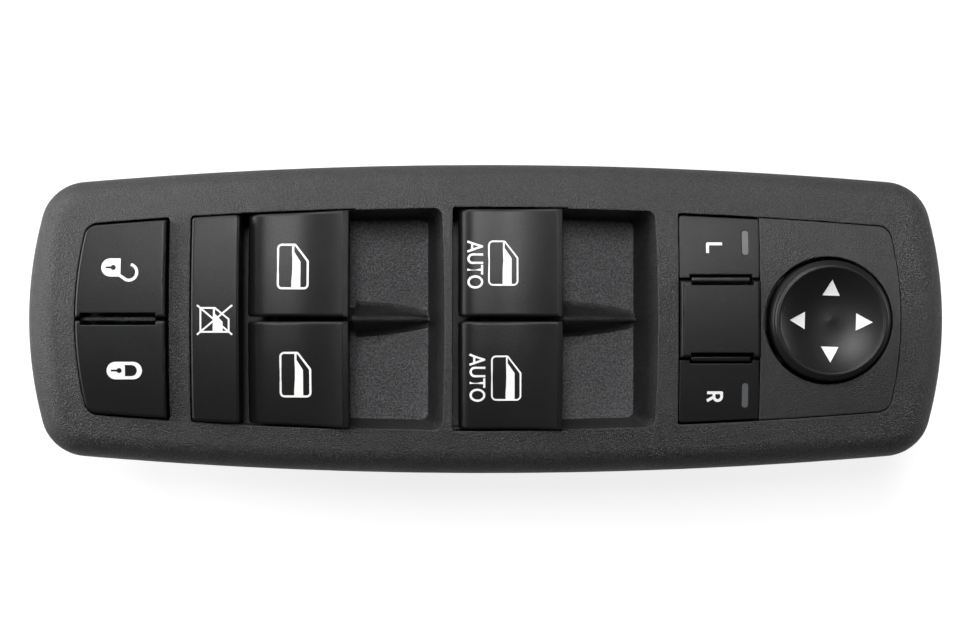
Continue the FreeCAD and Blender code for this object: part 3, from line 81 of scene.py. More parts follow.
class Row(Enum):
    """The two pairs of window keys."""

    REAR = "rear"
    FRONT = "front"


class Letter(Enum):
    """The capital letters that the keys carry."""

    A = "A"
    U = "U"
    T = "T"
    O = "O"
    L = "L"
    R = "R"


class ShaderTree:
    """A node tree under construction, for a material or for a group of its effects."""

    def __init__(self, tree: bpy.types.NodeTree) -> None:
        """Starts on an existing tree.

        Args:
            tree: the tree that the nodes go into.
        """
        self.tree = tree

    def node(self, kind: str, inputs: dict[str | int, object] | None = None, **settings: object) -> Node:
        """Adds one node.

        Args:
            kind: the node's type name.
            inputs: values or output sockets for its inputs, by name or number.
            settings: properties of the node itself.

        Returns:
            The new node.
        """
        made = self.tree.nodes.new(kind)
        for name, value in settings.items():
            setattr(made, name, value)
        for key, value in (inputs or {}).items():
            if isinstance(value, Socket):
                self.tree.links.new(value, made.inputs[key])
            else:
                made.inputs[key].default_value = value
        return made

    def ramp(self, value: Socket, low: float, high: float, to: Point = (0.0, 1.0)) -> Socket:
        """Maps a range of values onto another and clamps it.

        Args:
            value: the socket to map.
            low: the value that gives the first end of the new range.
            high: the value that gives its other end.
            to: the new range.

        Returns:
            The mapped socket.
        """
        inputs = {"Value": value, "From Min": low, "From Max": high, "To Min": to[0], "To Max": to[1]}
        return self.node("ShaderNodeMapRange", inputs).outputs["Result"]

    def blend(self, share: Socket, first: object, second: object) -> Socket:
        """Mixes two colours.

        Args:
            share: how much of the second colour there is.
            first: a colour or a colour socket.
            second: a colour or a colour socket.

        Returns:
            The mixed colour.
        """
        mix = self.node("ShaderNodeMix", data_type="RGBA")
        for socket, value in ((mix.inputs[0], share), (mix.inputs[6], first), (mix.inputs[7], second)):
            if isinstance(value, Socket):
                self.tree.links.new(value, socket)
            else:
                socket.default_value = value
        return mix.outputs[2]

    def math(self, operation: str, first: object, second: object = 0.0) -> Socket:
        """One step of arithmetic.

        Args:
            operation: the name of the operation.
            first: a number or a socket.
            second: a number or a socket.

        Returns:
            The result.
        """
        return self.node("ShaderNodeMath", {0: first, 1: second}, operation=operation).outputs[0]


def rgba(colour: Colour, light: float = 1.0) -> tuple[float, float, float, float]:
    """A colour with its alpha, made lighter or darker.

    Args:
        colour: the linear colour.
        light: what it is multiplied by.

    Returns:
        The four channels.
    """
    return (colour[0] * light, colour[1] * light, colour[2] * light, 1.0)


class EffectGroups:
    """The shader node groups that more than one finish uses, each built once."""

    def __init__(self) -> None:
        """Builds every group."""
        self.grain = self._grain()
        self.handling = self._handling()
        self.machining = self._machining()

    @staticmethod
    def _group(name: str, numbers: dict[str, float], outputs: Sequence[str]) -> tuple[ShaderTree, Node, Node]:
        """An empty group with its sockets.

        Args:
            name: the group's name.
            numbers: its number inputs and their usual values.
            outputs: the names of its number outputs.

        Returns:
            The tree, its input node and its output node.
        """
        tree = bpy.data.node_groups.new(name, "ShaderNodeTree")
        tree.interface.new_socket("Vector", in_out="INPUT", socket_type="NodeSocketVector")
        for label, value in numbers.items():
            socket = tree.interface.new_socket(label, in_out="INPUT", socket_type="NodeSocketFloat")
            socket.default_value = value
        for label in outputs:
            tree.interface.new_socket(label, in_out="OUTPUT", socket_type="NodeSocketFloat")
        shader = ShaderTree(tree)
        return shader, shader.node("NodeGroupInput"), shader.node("NodeGroupOutput")

    def _grain(self) -> bpy.types.NodeTree:
        """The fine sand grain of a mould: raised pebbles of mixed sizes with flat tops.

        Returns:
            The group.
        """
        s, source, sink = self._group("mould_grain", {"Pebble": 0.00035, "Sharpness": 0.5},
                                      ("Height", "Tops"))
        place = source.outputs["Vector"]
        scale = s.math("DIVIDE", 1.0, source.outputs["Pebble"])
        coarse = s.node("ShaderNodeTexNoise", {"Vector": place, "Scale": scale, "Detail": 2.0,
                                               "Roughness": 0.62})
        finer = s.math("MULTIPLY", scale, 2.3)
        cells = s.node("ShaderNodeTexVoronoi", {"Vector": place, "Scale": finer, "Randomness": 1.0})
        pebbles = s.ramp(coarse.outputs["Fac"], 0.36, 0.62)
        bumps = s.ramp(cells.outputs["Distance"], 0.75, 0.1)
        sharp = s.math("MULTIPLY", bumps, source.outputs["Sharpness"])
        height = s.math("ADD", pebbles, sharp)
        tops = s.ramp(height, 0.55, 1.25)
        s.tree.links.new(height, sink.inputs["Height"])
        s.tree.links.new(tops, sink.inputs["Tops"])
        return s.tree

    def _handling(self) -> bpy.types.NodeTree:
        """The uneven sheen that fingers and the mould's polish leave.

        Returns:
            The group.
        """
        s, source, sink = self._group("handling_sheen", {"Patch": 0.02, "Amount": 0.5}, ("Sheen", "Speck"))
        place = source.outputs["Vector"]
        scale = s.math("DIVIDE", 1.0, source.outputs["Patch"])
        patch = s.node("ShaderNodeTexNoise", {"Vector": place, "Scale": scale, "Detail": 4.0,
                                              "Roughness": 0.55, "Distortion": 0.4})
        dots = s.math("MULTIPLY", scale, 45.0)
        speck = s.node("ShaderNodeTexNoise", {"Vector": place, "Scale": dots, "Detail": 1.0})
        sheen = s.math("MULTIPLY", s.ramp(patch.outputs["Fac"], 0.3, 0.7), source.outputs["Amount"])
        s.tree.links.new(sheen, sink.inputs["Sheen"])
        s.tree.links.new(s.ramp(speck.outputs["Fac"], 0.74, 0.8), sink.inputs["Speck"])
        return s.tree

    def _machining(self) -> bpy.types.NodeTree:
        """Fine drawing lines and small stains, for metal and boards.

        Returns:
            The group.
        """
        s, source, sink = self._group("drawn_lines", {"Pitch": 0.0002, "Stretch": 12.0}, ("Lines", "Stain"))
        place = source.outputs["Vector"]
        parts = s.node("ShaderNodeSeparateXYZ", {0: place})
        along = s.math("DIVIDE", parts.outputs["X"], source.outputs["Stretch"])
        drawn = s.node("ShaderNodeCombineXYZ", {0: along, 1: parts.outputs["Y"], 2: parts.outputs["Z"]})
        scale = s.math("DIVIDE", 1.0, source.outputs["Pitch"])
        lines = s.node("ShaderNodeTexNoise", {"Vector": drawn.outputs[0], "Scale": scale, "Detail": 3.0})
        broad = s.math("DIVIDE", scale, 30.0)
        stain = s.node("ShaderNodeTexNoise", {"Vector": place, "Scale": broad, "Detail": 5.0})
        s.tree.links.new(s.ramp(lines.outputs["Fac"], 0.3, 0.7), sink.inputs["Lines"])
        s.tree.links.new(s.ramp(stain.outputs["Fac"], 0.45, 0.75), sink.inputs["Stain"])
        return s.tree


EFFECTS = EffectGroups()


@dataclass(frozen=True)
class Finish:
    """A moulded plastic finish, and what the other finishes change."""

    name: str
    colour: Colour
    roughness: float = 0.5
    rough_spread: float = 0.08
    pebble: float = 0.00035
    sharpness: float = 0.5
    depth: float = 0.00004
    mottle: float = 0.25
    patch: float = 0.02
    specular: float = 0.5
    edge: float = 0.0
    edge_samples: int = 6
    wear: float = 0.35
    worn_light: float = 1.35

    def surface(self, s: ShaderTree, place: Socket, shader: Node) -> None:
        """Feeds the shader its colour, roughness and relief.

        Args:
            s: the material's tree.
            place: the object coordinates.
            shader: the Principled BSDF.
        """
        grain = self.effect(s, EFFECTS.grain, place, {"Pebble": self.pebble, "Sharpness": self.sharpness})
        handling = self.effect(s, EFFECTS.handling, place, {"Patch": self.patch, "Amount": 1.0})
        dark, light = rgba(self.colour, 1 - self.mottle), rgba(self.colour, 1 + self.mottle)
        lit = s.blend(grain.outputs["Tops"], dark, light)
        share = s.math("MULTIPLY", handling.outputs["Sheen"], self.wear)
        worn = s.blend(share, lit, rgba(self.colour, self.worn_light))
        s.tree.links.new(worn, shader.inputs["Base Color"])
        low, high = self.roughness - self.rough_spread, self.roughness + self.rough_spread
        rough = s.ramp(handling.outputs["Sheen"], 0.0, 1.0, (high, low))
        topped = s.math("SUBTRACT", rough, s.math("MULTIPLY", grain.outputs["Tops"], self.rough_spread))
        s.tree.links.new(topped, shader.inputs["Roughness"])
        bump = self.relief(s, grain.outputs["Height"], self.depth, shader)
        if self.edge:
            soft_edge = s.node("ShaderNodeBevel", {"Radius": self.edge}, samples=self.edge_samples)
            s.tree.links.new(soft_edge.outputs["Normal"], bump.inputs["Normal"])

    @staticmethod
    def effect(s: ShaderTree, group: bpy.types.NodeTree, place: Socket, values: dict[str, float]) -> Node:
        """Places an effect group in a material.

        Args:
            s: the material's tree.
            group: the effect.
            place: the coordinates that it reads.
            values: its number inputs.

        Returns:
            The group's node.
        """
        used = s.node("ShaderNodeGroup", node_tree=group)
        s.tree.links.new(place, used.inputs["Vector"])
        for label, value in values.items():
            used.inputs[label].default_value = value
        return used

    @staticmethod
    def relief(s: ShaderTree, height: Socket, depth: float, shader: Node) -> Node:
        """Feeds the shader's normal from a height.

        Args:
            s: the material's tree.
            height: the height, about 0 to 1.
            depth: what a height of 1 stands for.
            shader: the Principled BSDF.

        Returns:
            The Bump node.
        """
        bump = s.node("ShaderNodeBump", {"Height": height, "Distance": depth, "Strength": 1.0})
        s.tree.links.new(bump.outputs["Normal"], shader.inputs["Normal"])
        return bump

    def build(self) -> bpy.types.Material:
        """The finished material.

        Returns:
            A material whose surface follows object coordinates.
        """
        material = bpy.data.materials.new(self.name)
        material.use_nodes = True
        material.node_tree.nodes.clear()
        s = ShaderTree(material.node_tree)
        shader = s.node("ShaderNodeBsdfPrincipled")
        shader.inputs["Specular IOR Level"].default_value = self.specular
        output = s.node("ShaderNodeOutputMaterial")
        s.tree.links.new(shader.outputs["BSDF"], output.inputs["Surface"])
        place = s.node("ShaderNodeTexCoord").outputs["Object"]
        self.surface(s, place, shader)
        return material


@dataclass(frozen=True)
class PaintedWellLightFinish(Finish):
    """A grained finish with painted light: its low, upward-facing parts, such as the floors of the finger
    wells, are made paler as though lit from above.
    """

    below: Point = (0.0314, 0.0345)
    lift: float = 3.6
    flat: Point = (0.80, 0.97)

    def build(self) -> bpy.types.Material:
        """The finished material, with painted light that makes its low parts paler.

        Returns:
            The material.
        """
        material = super().build()
        s = ShaderTree(material.node_tree)
        shader = next(n for n in material.node_tree.nodes if n.type == "BSDF_PRINCIPLED")
        colour = shader.inputs["Base Color"].links[0].from_socket
        place = s.node("ShaderNodeTexCoord")
        height = s.node("ShaderNodeSeparateXYZ", {0: place.outputs["Object"]}).outputs["Z"]
        upward = s.node("ShaderNodeSeparateXYZ", {0: place.outputs["Normal"]}).outputs["Z"]
        # Painted light: low parts that face up get a paler colour, standing in for the light that reaches the
        # well floors.
        low = s.math("MULTIPLY", s.ramp(height, self.below[1], self.below[0]), s.ramp(upward, *self.flat))
        paler = s.node("ShaderNodeMix", data_type="RGBA", blend_type="MULTIPLY")
        paler.inputs[0].default_value = 1.0
        gain = s.blend(low, (1.0, 1.0, 1.0, 1.0), (self.lift, self.lift, self.lift, 1.0))
        s.tree.links.new(colour, paler.inputs[6])
        s.tree.links.new(gain, paler.inputs[7])
        s.tree.links.new(paler.outputs[2], shader.inputs["Base Color"])
        return material


@dataclass(frozen=True)
class CoatedFinish(Finish):
    """A glossy plastic, with a clear skin over its colour."""

    coat: float = 0.6
    coat_roughness: float = 0.06

    def build(self) -> bpy.types.Material:
        """The finished material, with its coat.

        Returns:
            The material.
        """
        material = super().build()
        shader = next(n for n in material.node_tree.nodes if n.type == "BSDF_PRINCIPLED")
        shader.inputs["Coat Weight"].default_value = self.coat
        shader.inputs["Coat Roughness"].default_value = self.coat_roughness
        return material


@dataclass(frozen=True)
class MetalFinish(Finish):
    """A drawn or plated metal."""

    pitch: float = 0.00008
    stretch: float = 10.0
    stain: float = 0.35
    stained_light: float = 0.55

    def surface(self, s: ShaderTree, place: Socket, shader: Node) -> None:
        """Feeds the shader a drawn metal surface.

        Args:
            s: the material's tree.
            place: the object coordinates.
            shader: the Principled BSDF.
        """
        lines = self.effect(s, EFFECTS.machining, place, {"Pitch": self.pitch, "Stretch": self.stretch})
        shader.inputs["Metallic"].default_value = 1.0
        share = s.math("MULTIPLY", lines.outputs["Stain"], self.stain)
        tint = s.blend(share, rgba(self.colour), rgba(self.colour, self.stained_light))
        s.tree.links.new(tint, shader.inputs["Base Color"])
        low, high = self.roughness - self.rough_spread, self.roughness + self.rough_spread
        s.tree.links.new(s.ramp(lines.outputs["Lines"], 0.0, 1.0, (low, high)), shader.inputs["Roughness"])
        self.relief(s, lines.outputs["Lines"], self.depth, shader)


@dataclass(frozen=True)
class BoardFinish(Finish):
    """A circuit board's solder mask over copper tracks."""

    track: float = 0.0016
    gap_share: float = 0.22
    run_share: float = 9.0
    copper: Colour = (0.10, 0.34, 0.16)
    dust: Colour = (0.5, 0.5, 0.45)
    dust_share: float = 0.5

    def surface(self, s: ShaderTree, place: Socket, shader: Node) -> None:
        """Feeds the shader a lacquered board with the tracks showing through.

        Args:
            s: the material's tree.
            place: the object coordinates.
            shader: the Principled BSDF.
        """
        cells = s.node("ShaderNodeTexBrick", {
            "Vector": place, "Scale": 1.0, "Mortar Size": self.track * self.gap_share,
            "Brick Width": self.track * self.run_share, "Row Height": self.track})
        tracks = s.ramp(cells.outputs["Fac"], 0.0, 1.0, (1.0, 0.0))
        handling = self.effect(s, EFFECTS.handling, place, {"Patch": self.patch, "Amount": 1.0})
        colour = s.blend(tracks, rgba(self.colour), rgba(self.copper))
        share = s.math("MULTIPLY", handling.outputs["Speck"], self.dust_share)
        dusty = s.blend(share, colour, rgba(self.dust))
        s.tree.links.new(dusty, shader.inputs["Base Color"])
        ends = (self.roughness, self.roughness + self.rough_spread)
        rough = s.ramp(handling.outputs["Sheen"], 0.0, 1.0, ends)
        s.tree.links.new(rough, shader.inputs["Roughness"])
        self.relief(s, tracks, self.depth, shader)


@dataclass(frozen=True)
class InkFinish(Finish):
    """The pale printed marks, with the slight unevenness of pad printing."""

    fade: float = 0.5
    faded_light: float = 0.86

    def surface(self, s: ShaderTree, place: Socket, shader: Node) -> None:
        """Feeds the shader a slightly uneven white.

        Args:
            s: the material's tree.
            place: the object coordinates.
            shader: the Principled BSDF.
        """
        handling = self.effect(s, EFFECTS.handling, place, {"Patch": self.patch, "Amount": 1.0})
        share = s.math("MULTIPLY", handling.outputs["Sheen"], self.fade)
        colour = s.blend(share, rgba(self.colour), rgba(self.colour, self.faded_light))
        s.tree.links.new(colour, shader.inputs["Base Color"])
        ends = (self.roughness, self.roughness + self.rough_spread)
        rough = s.ramp(handling.outputs["Sheen"], 0.0, 1.0, ends)
        s.tree.links.new(rough, shader.inputs["Roughness"])
        self.relief(s, handling.outputs["Sheen"], self.depth, shader)


class Palette:
    """Every finish of the panel, built once, by the record's slot names."""

    def __init__(self) -> None:
        """Builds the materials."""
        finishes = (
            # grained_black carries painted light: the well floors are made paler.
            PaintedWellLightFinish("grained_black", (0.014, 0.014, 0.0148), roughness=0.39, rough_spread=0.08,
                         pebble=0.00042, sharpness=1.0, depth=0.00007, mottle=0.85, edge=0.0005),
            Finish("panel_black", (0.012, 0.012, 0.0129), roughness=0.41, rough_spread=0.05, pebble=0.00030,
                   sharpness=0.7, depth=0.00004, mottle=0.55, edge=0.0004),
            Finish("satin_black", (0.007, 0.007, 0.0076), roughness=0.38, rough_spread=0.04, pebble=0.00025,
                   sharpness=0.3, depth=0.00001, mottle=0.30, specular=0.25, edge=0.00045),
            Finish("knob_black", (0.0075, 0.0075, 0.008), roughness=0.40, rough_spread=0.04, pebble=0.00025,
                   sharpness=0.3, depth=0.00001, mottle=0.25, specular=0.28, edge=0.0004),
            # Near-black steel for the key shafts: painted shade, so that the shafts seen in the gap between
            # the keys read dark.
            MetalFinish("blackened_steel", (0.035, 0.035, 0.038), roughness=0.45, rough_spread=0.08,
                        depth=0.000004),
            CoatedFinish("gloss_black", (0.008, 0.008, 0.009), roughness=0.22, rough_spread=0.03,
                         pebble=0.0006, sharpness=0.2, depth=0.000002, mottle=0.05, edge=0.0003),
            Finish("case_plastic", (0.040, 0.040, 0.042), roughness=0.46, rough_spread=0.08, pebble=0.0007,
                   sharpness=0.2, depth=0.00002, mottle=0.12),
            Finish("connector_plastic", (0.62, 0.60, 0.54), roughness=0.42, rough_spread=0.06, pebble=0.0006,
                   sharpness=0.2, depth=0.00001, mottle=0.05),
            BoardFinish("board", (0.03, 0.16, 0.07), roughness=0.30, rough_spread=0.10, depth=0.00003),
            BoardFinish("dark_board", (0.010, 0.012, 0.011), roughness=0.34, rough_spread=0.10, depth=0.00003,
                        copper=(0.018, 0.022, 0.019)),
            # Near-black foam for the strips under the mirror key gaps, which stand as painted shade there.
            Finish("foam", (0.010, 0.010, 0.010), roughness=0.85, rough_spread=0.08, pebble=0.0006,
                   sharpness=0.9, depth=0.00012, mottle=0.4, specular=0.2),
            MetalFinish("contact_brass", (0.78, 0.58, 0.27), roughness=0.28, rough_spread=0.08,
                        depth=0.000004),
            MetalFinish("steel", (0.56, 0.56, 0.55), roughness=0.32, rough_spread=0.10, depth=0.000005),
            Finish("silicone", (0.42, 0.42, 0.40), roughness=0.62, rough_spread=0.06, pebble=0.0008,
                   sharpness=0.2, depth=0.00001, mottle=0.06),
            Finish("lens", (0.085, 0.087, 0.09), roughness=0.34, rough_spread=0.04, pebble=0.0004,
                   sharpness=0.2, depth=0.000004, mottle=0.08),
            Finish("natural_acetal", (0.74, 0.73, 0.68), roughness=0.40, rough_spread=0.05, pebble=0.0006,
                   sharpness=0.2, depth=0.000006, mottle=0.04),
            InkFinish("mark_white", (0.84, 0.84, 0.83), roughness=0.42, rough_spread=0.10, patch=0.0012,
                      depth=0.000004),
        )
        self.materials = {finish.name: finish.build() for finish in finishes}

    def dress(self, thing: bpy.types.Object, name: str) -> None:
        """Gives an object one finish all over.

        Args:
            thing: the object.
            name: the finish.
        """
        thing.data.materials.clear()
        thing.data.materials.append(self.materials[name])


class MeshMaker:
    """Small helpers that turn outlines and mesh code into finished pieces."""

    @staticmethod
    def piece(name: str, mesh: bpy.types.Mesh, body: str, slot: str | None = None) -> bpy.types.Object:
        """An object at the origin that rides on a body.

        Args:
            name: the piece's name.
            mesh: its mesh, already in place.
            body: the CAD body that it rides on.
            slot: the record's material slot, where it has one; not used.

        Returns:
            The object.
        """
        thing = bpy.data.objects.new(name, mesh)
        bpy.context.scene.collection.objects.link(thing)
        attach(thing, body)
        LOG.info("%s: %d faces on %s", name, len(mesh.polygons), body)
        return thing

    @staticmethod
    def mesh_from(work: bmesh.types.BMesh, name: str, smooth_angle: float = 35.0) -> bpy.types.Mesh:
        """Finishes mesh code: merged, facing outwards, with smooth and sharp edges.

        Args:
            work: the geometry, which is freed.
            name: the mesh's name.
            smooth_angle: the turn past which an edge is sharp, in degrees.

        Returns:
            The mesh.
        """
        bmesh.ops.remove_doubles(work, verts=work.verts, dist=1e-7)
        bmesh.ops.recalc_face_normals(work, faces=work.faces)
        limit = math.radians(smooth_angle)
        for f in work.faces:
            f.smooth = True
        for e in work.edges:
            e.smooth = len(e.link_faces) == 2 and e.calc_face_angle(0.0) < limit
        mesh = bpy.data.meshes.new(name)
        work.to_mesh(mesh)
        work.free()
        return mesh

    @staticmethod
    def turned(profile: Sequence[Point], segments: int = 48,
               centre: Sequence[float] = (0, 0, 0)) -> bmesh.types.BMesh:
        """A shape turned about an upright axis.

        Args:
            profile: radius and height of each ring, which may start and end on the axis.
            segments: how many faces go round.
            centre: the place of the axis and of height 0.

        Returns:
            The geometry.
        """
        work = bmesh.new()
        middle = Vector(centre)
        rings = []
        for radius, height in profile:
            count = 1 if radius < 1e-9 else segments
            ring = []
            for step in range(count):
                turn = math.tau * step / segments
                place = Vector((radius * math.cos(turn), radius * math.sin(turn), height))
                ring.append(work.verts.new(middle + place))
            rings.append(ring)
        for low, high in zip(rings, rings[1:]):
            for step in range(segments):
                after = (step + 1) % segments
                corners = [low[step % len(low)], low[after % len(low)],
                           high[after % len(high)], high[step % len(high)]]
                unique = list(dict.fromkeys(corners))
                if len(unique) > 2:
                    work.faces.new(unique)
        return work


@dataclass(frozen=True)
class Stroke:
    """A line of even width through points, in millimetres."""

    points: tuple[Point, ...]
    width: float
    closed: bool = False

    def outlines(self) -> list[list[Point]]:
        """The quads that cover the line, with a joint at each corner.

        Returns:
            Closed outlines that overlap at the joints.
        """
        half = self.width / 2
        ends = list(self.points) + ([self.points[0]] if self.closed else [])
        shapes = []
        for (ax, ay), (bx, by) in zip(ends, ends[1:]):
            length = math.hypot(bx - ax, by - ay)
            if length < 1e-6:
                continue
            nx, ny = (ay - by) / length * half, (bx - ax) / length * half
            shapes.append([(ax + nx, ay + ny), (ax - nx, ay - ny), (bx - nx, by - ny), (bx + nx, by + ny)])
        joints = ends[1:] if self.closed else ends[1:-1]
        for place in joints:
            shapes.append(disc(place, half, 12))
        return shapes


def disc(centre: Point, radius: float, count: int = 28) -> list[Point]:
    """A round outline.

    Args:
        centre: its middle.
        radius: its radius.
        count: how many points go round.

    Returns:
        The points.
    """
    return [(centre[0] + radius * math.cos(math.tau * (i + 0.5) / count),
             centre[1] + radius * math.sin(math.tau * (i + 0.5) / count)) for i in range(count)]


def arc(centre: Point, radius: float, start: float, end: float, count: int = 12) -> list[Point]:
    """Points along an arc.

    Args:
        centre: the arc's middle.
        radius: its radius.
        start: its first angle, in degrees.
        end: its last angle, in degrees.
        count: how many steps it has.

    Returns:
        The points, ends included.
    """
    turns = [math.radians(start + (end - start) * i / count) for i in range(count + 1)]
    return [(centre[0] + radius * math.cos(t), centre[1] + radius * math.sin(t)) for t in turns]


def rounded(corners: Sequence[Triple], steps: int = 6) -> list[Point]:
    """A closed outline with rounded corners.

    Args:
        corners: each corner's place and radius.
        steps: how many steps a rounded corner has.

    Returns:
        The points.
    """
    points: list[Point] = []
    count = len(corners)
    for i, (x, y, radius) in enumerate(corners):
        here = Vector((x, y))
        before = (Vector(corners[i - 1][:2]) - here).normalized()
        after = (Vector(corners[(i + 1) % count][:2]) - here).normalized()
        if radius <= 0:
            points.append((x, y))
            continue
        half_turn = before.angle(after) / 2
        reach = radius / math.tan(half_turn)
        middle = here + (before + after).normalized() * (radius / math.sin(half_turn))
        first, last = here + before * reach - middle, here + after * reach - middle
        sweep = first.angle_signed(last)
        for step in range(steps + 1):
            spot = middle + Matrix.Rotation(-sweep * step / steps, 2) @ first
            points.append((spot.x, spot.y))
    return points


@dataclass
class Artwork:
    """A flat mark: outlines that carry ink and outlines that leave it out, in millimetres."""

    ink: list[list[Point]] = field(default_factory=list)
    bare: list[list[Point]] = field(default_factory=list)

    def stroke(self, points: Sequence[Point], width: float, closed: bool = False) -> Artwork:
        """Adds a line of even width and returns the artwork."""
        self.ink += Stroke(tuple(points), width, closed).outlines()
        return self

    def placed(self, x: float, y: float, turn: float = 0.0) -> Artwork:
        """The same artwork turned and moved to its place.

        Args:
            x: how far it moves along the panel.
            y: how far it moves across the panel.
            turn: how far it turns first, in degrees.

        Returns:
            The moved artwork.
        """
        c, s = math.cos(math.radians(turn)), math.sin(math.radians(turn))

        def move(shape: list[Point]) -> list[Point]:
            """One outline turned and moved."""
            return [(x + c * u - s * v, y + s * u + c * v) for u, v in shape]

        return Artwork([move(shape) for shape in self.ink], [move(shape) for shape in self.bare])

    def joined(self, other: Artwork) -> Artwork:
        """This artwork and another as one."""
        return Artwork(self.ink + other.ink, self.bare + other.bare)


class Lettering:
    """Plain capital letters drawn with strokes of even width, upright, from the baseline's left end."""

    def __init__(self, height: float, weight: float, widths: dict[Letter, float], gap: float) -> None:
        """Sets the alphabet's sizes.

        Args:
            height: the height of the capitals.
            weight: the width of the strokes.
            widths: how wide each letter is.
            gap: the space between two letters.
        """
        self.height = height
        self.weight = weight
        self.widths = widths
        self.gap = gap

    def _strokes(self, letter: Letter, width: float) -> list[tuple[list[Point], bool]]:
        """The centre lines of one letter.

        Args:
            letter: which letter.
            width: how wide it is.

        Returns:
            Each line's points, and whether it closes on itself.
        """
        h, half = self.height, self.weight / 2
        low, high, left, right = half, h - half, half, width - half
        middle = width / 2
        bowl = (right - left) / 2
        shapes: dict[Letter, list[tuple[list[Point], bool]]] = {
            Letter.A: [([(left, 0), (middle, high), (right, 0)], False),
                       ([(left + bowl * 0.35, h * 0.3), (right - bowl * 0.35, h * 0.3)], False)],
            Letter.U: [([(left, h), (left, low + bowl)] + arc((middle, low + bowl), bowl, 180, 360)
                        + [(right, h)], False)],
            Letter.T: [([(0, high), (width, high)], False), ([(middle, high), (middle, 0)], False)],
            Letter.O: [([(middle + (right - middle) * math.cos(math.tau * i / 32),
                          h / 2 + (high - h / 2) * math.sin(math.tau * i / 32)) for i in range(32)], True)],
            Letter.L: [([(left, h), (left, low), (width, low)], False)],
            Letter.R: [([(left, 0), (left, high)] + [(right - h * 0.26, high)]
                        + arc((right - h * 0.26, high - h * 0.24), h * 0.24, 90, -90)
                        + [(left, high - h * 0.48)], False),
                       ([(middle, high - h * 0.48), (right, 0)], False)],
        }
        return shapes[letter]

    def word(self, letters: Iterable[Letter]) -> Artwork:
        """A word that starts at the origin and runs to the right.

        Args:
            letters: its letters.

        Returns:
            The artwork.
        """
        art = Artwork()
        along = 0.0
        for letter in letters:
            width = self.widths[letter]
            for points, closed in self._strokes(letter, width):
                art.stroke([(u + along, v) for u, v in points], self.weight, closed)
            along += width + self.gap
        return art

    def length(self, letters: Sequence[Letter]) -> float:
        """How long a word is."""
        return sum(self.widths[letter] for letter in letters) + self.gap * (len(letters) - 1)


@dataclass
class PrintedMark:
    """A thin layer of ink that lies on the surface of a CAD node."""

    name: str
    node: str
    body: str
    art: Artwork
    thickness: float = 0.00004
    sink: float = 0.00006
    spacing: float = 0.5
    ray_height: float = 0.2

    def build(self, palette: Palette) -> bpy.types.Object:
        """Lays the ink on its node.

        Args:
            palette: the finishes.

        Returns:
            The piece.
        """
        work = self._flat()
        self._drape(work)
        mesh = MeshMaker.mesh_from(work, self.name)
        thing = MeshMaker.piece(self.name, mesh, self.body)
        palette.dress(thing, "mark_white")
        return thing

    def _flat(self) -> bmesh.types.BMesh:
        """The inked area as small flat triangles, in millimetres.

        Returns:
            The geometry.
        """
        shapes = self.art.ink + self.art.bare
        points: list[Vector] = []
        faces: list[list[int]] = []
        for shape in shapes:
            start = len(points)
            points += [Vector(p) for p in shape]
            faces.append(list(range(start, len(points))))
        points += self._filling(points)
        verts, _, triangles, _, _, sources = delaunay_2d_cdt(points, [], faces, 0, 1e-5)
        inked = len(self.art.ink)
        work = bmesh.new()
        made = [work.verts.new((v.x, v.y, 0.0)) for v in verts]
        for triangle, source in zip(triangles, sources):
            covered = [s for s in source if s < inked]
            left_out = [s for s in source if s >= inked]
            if covered and not left_out:
                work.faces.new([made[i] for i in triangle])
        loose = [v for v in work.verts if not v.link_faces]
        bmesh.ops.delete(work, geom=loose, context="VERTS")
        return work

    def _filling(self, points: Sequence[Vector]) -> list[Vector]:
        """A grid of points that lets the ink follow a curved key.

        Args:
            points: the corners of the outlines.

        Returns:
            The grid's points.
        """
        xs, ys = [p.x for p in points], [p.y for p in points]
        columns = int((max(xs) - min(xs)) / self.spacing)
        rows = int((max(ys) - min(ys)) / self.spacing)
        return [Vector((min(xs) + self.spacing * (i + 0.5), min(ys) + self.spacing * (j + 0.5)))
                for i in range(columns) for j in range(rows)]

    def _drape(self, work: bmesh.types.BMesh) -> None:
        """Moves the flat triangles onto the node and gives them a thickness.

        Args:
            work: the geometry, changed in place.
        """
        source = bmesh.new()
        source.from_mesh(frame["nodes"][self.node].data)
        tree = BVHTree.FromBMesh(source)
        source.free()
        normals = {}
        for v in work.verts:
            start = Vector((v.co.x * MM, v.co.y * MM, self.ray_height))
            place, normal, _, _ = tree.ray_cast(start, Vector((0, 0, -1)))
            if place is None:
                raise ValueError(f"{self.name} reaches past {self.node} at {v.co.x:.2f}, {v.co.y:.2f}")
            v.co = place
            normals[v] = normal
        low = bmesh.ops.duplicate(work, geom=work.verts[:] + work.edges[:] + work.faces[:])
        twins = low["vert_map"]
        for v, normal in normals.items():
            twin = twins[v]
            twin.co = v.co - normal * self.sink
            v.co = v.co + normal * self.thickness
        rims = [e for e in work.edges if len(e.link_faces) == 1 and e.verts[0] in normals]
        for edge in rims:
            a, b = edge.verts
            work.faces.new([a, b, twins[b], twins[a]])


@dataclass
class RingArt:
    """The band between an outer and an inner outline with the same corners."""

    outer: list[Point]
    inner: list[Point]

    def art(self) -> Artwork:
        """The band as quads between the two outlines.

        Returns:
            the artwork.
        """
        count = len(self.outer)
        pairs = [(i, (i + 1) % count) for i in range(count)]
        return Artwork([[self.outer[i], self.outer[j], self.inner[j], self.inner[i]] for i, j in pairs])


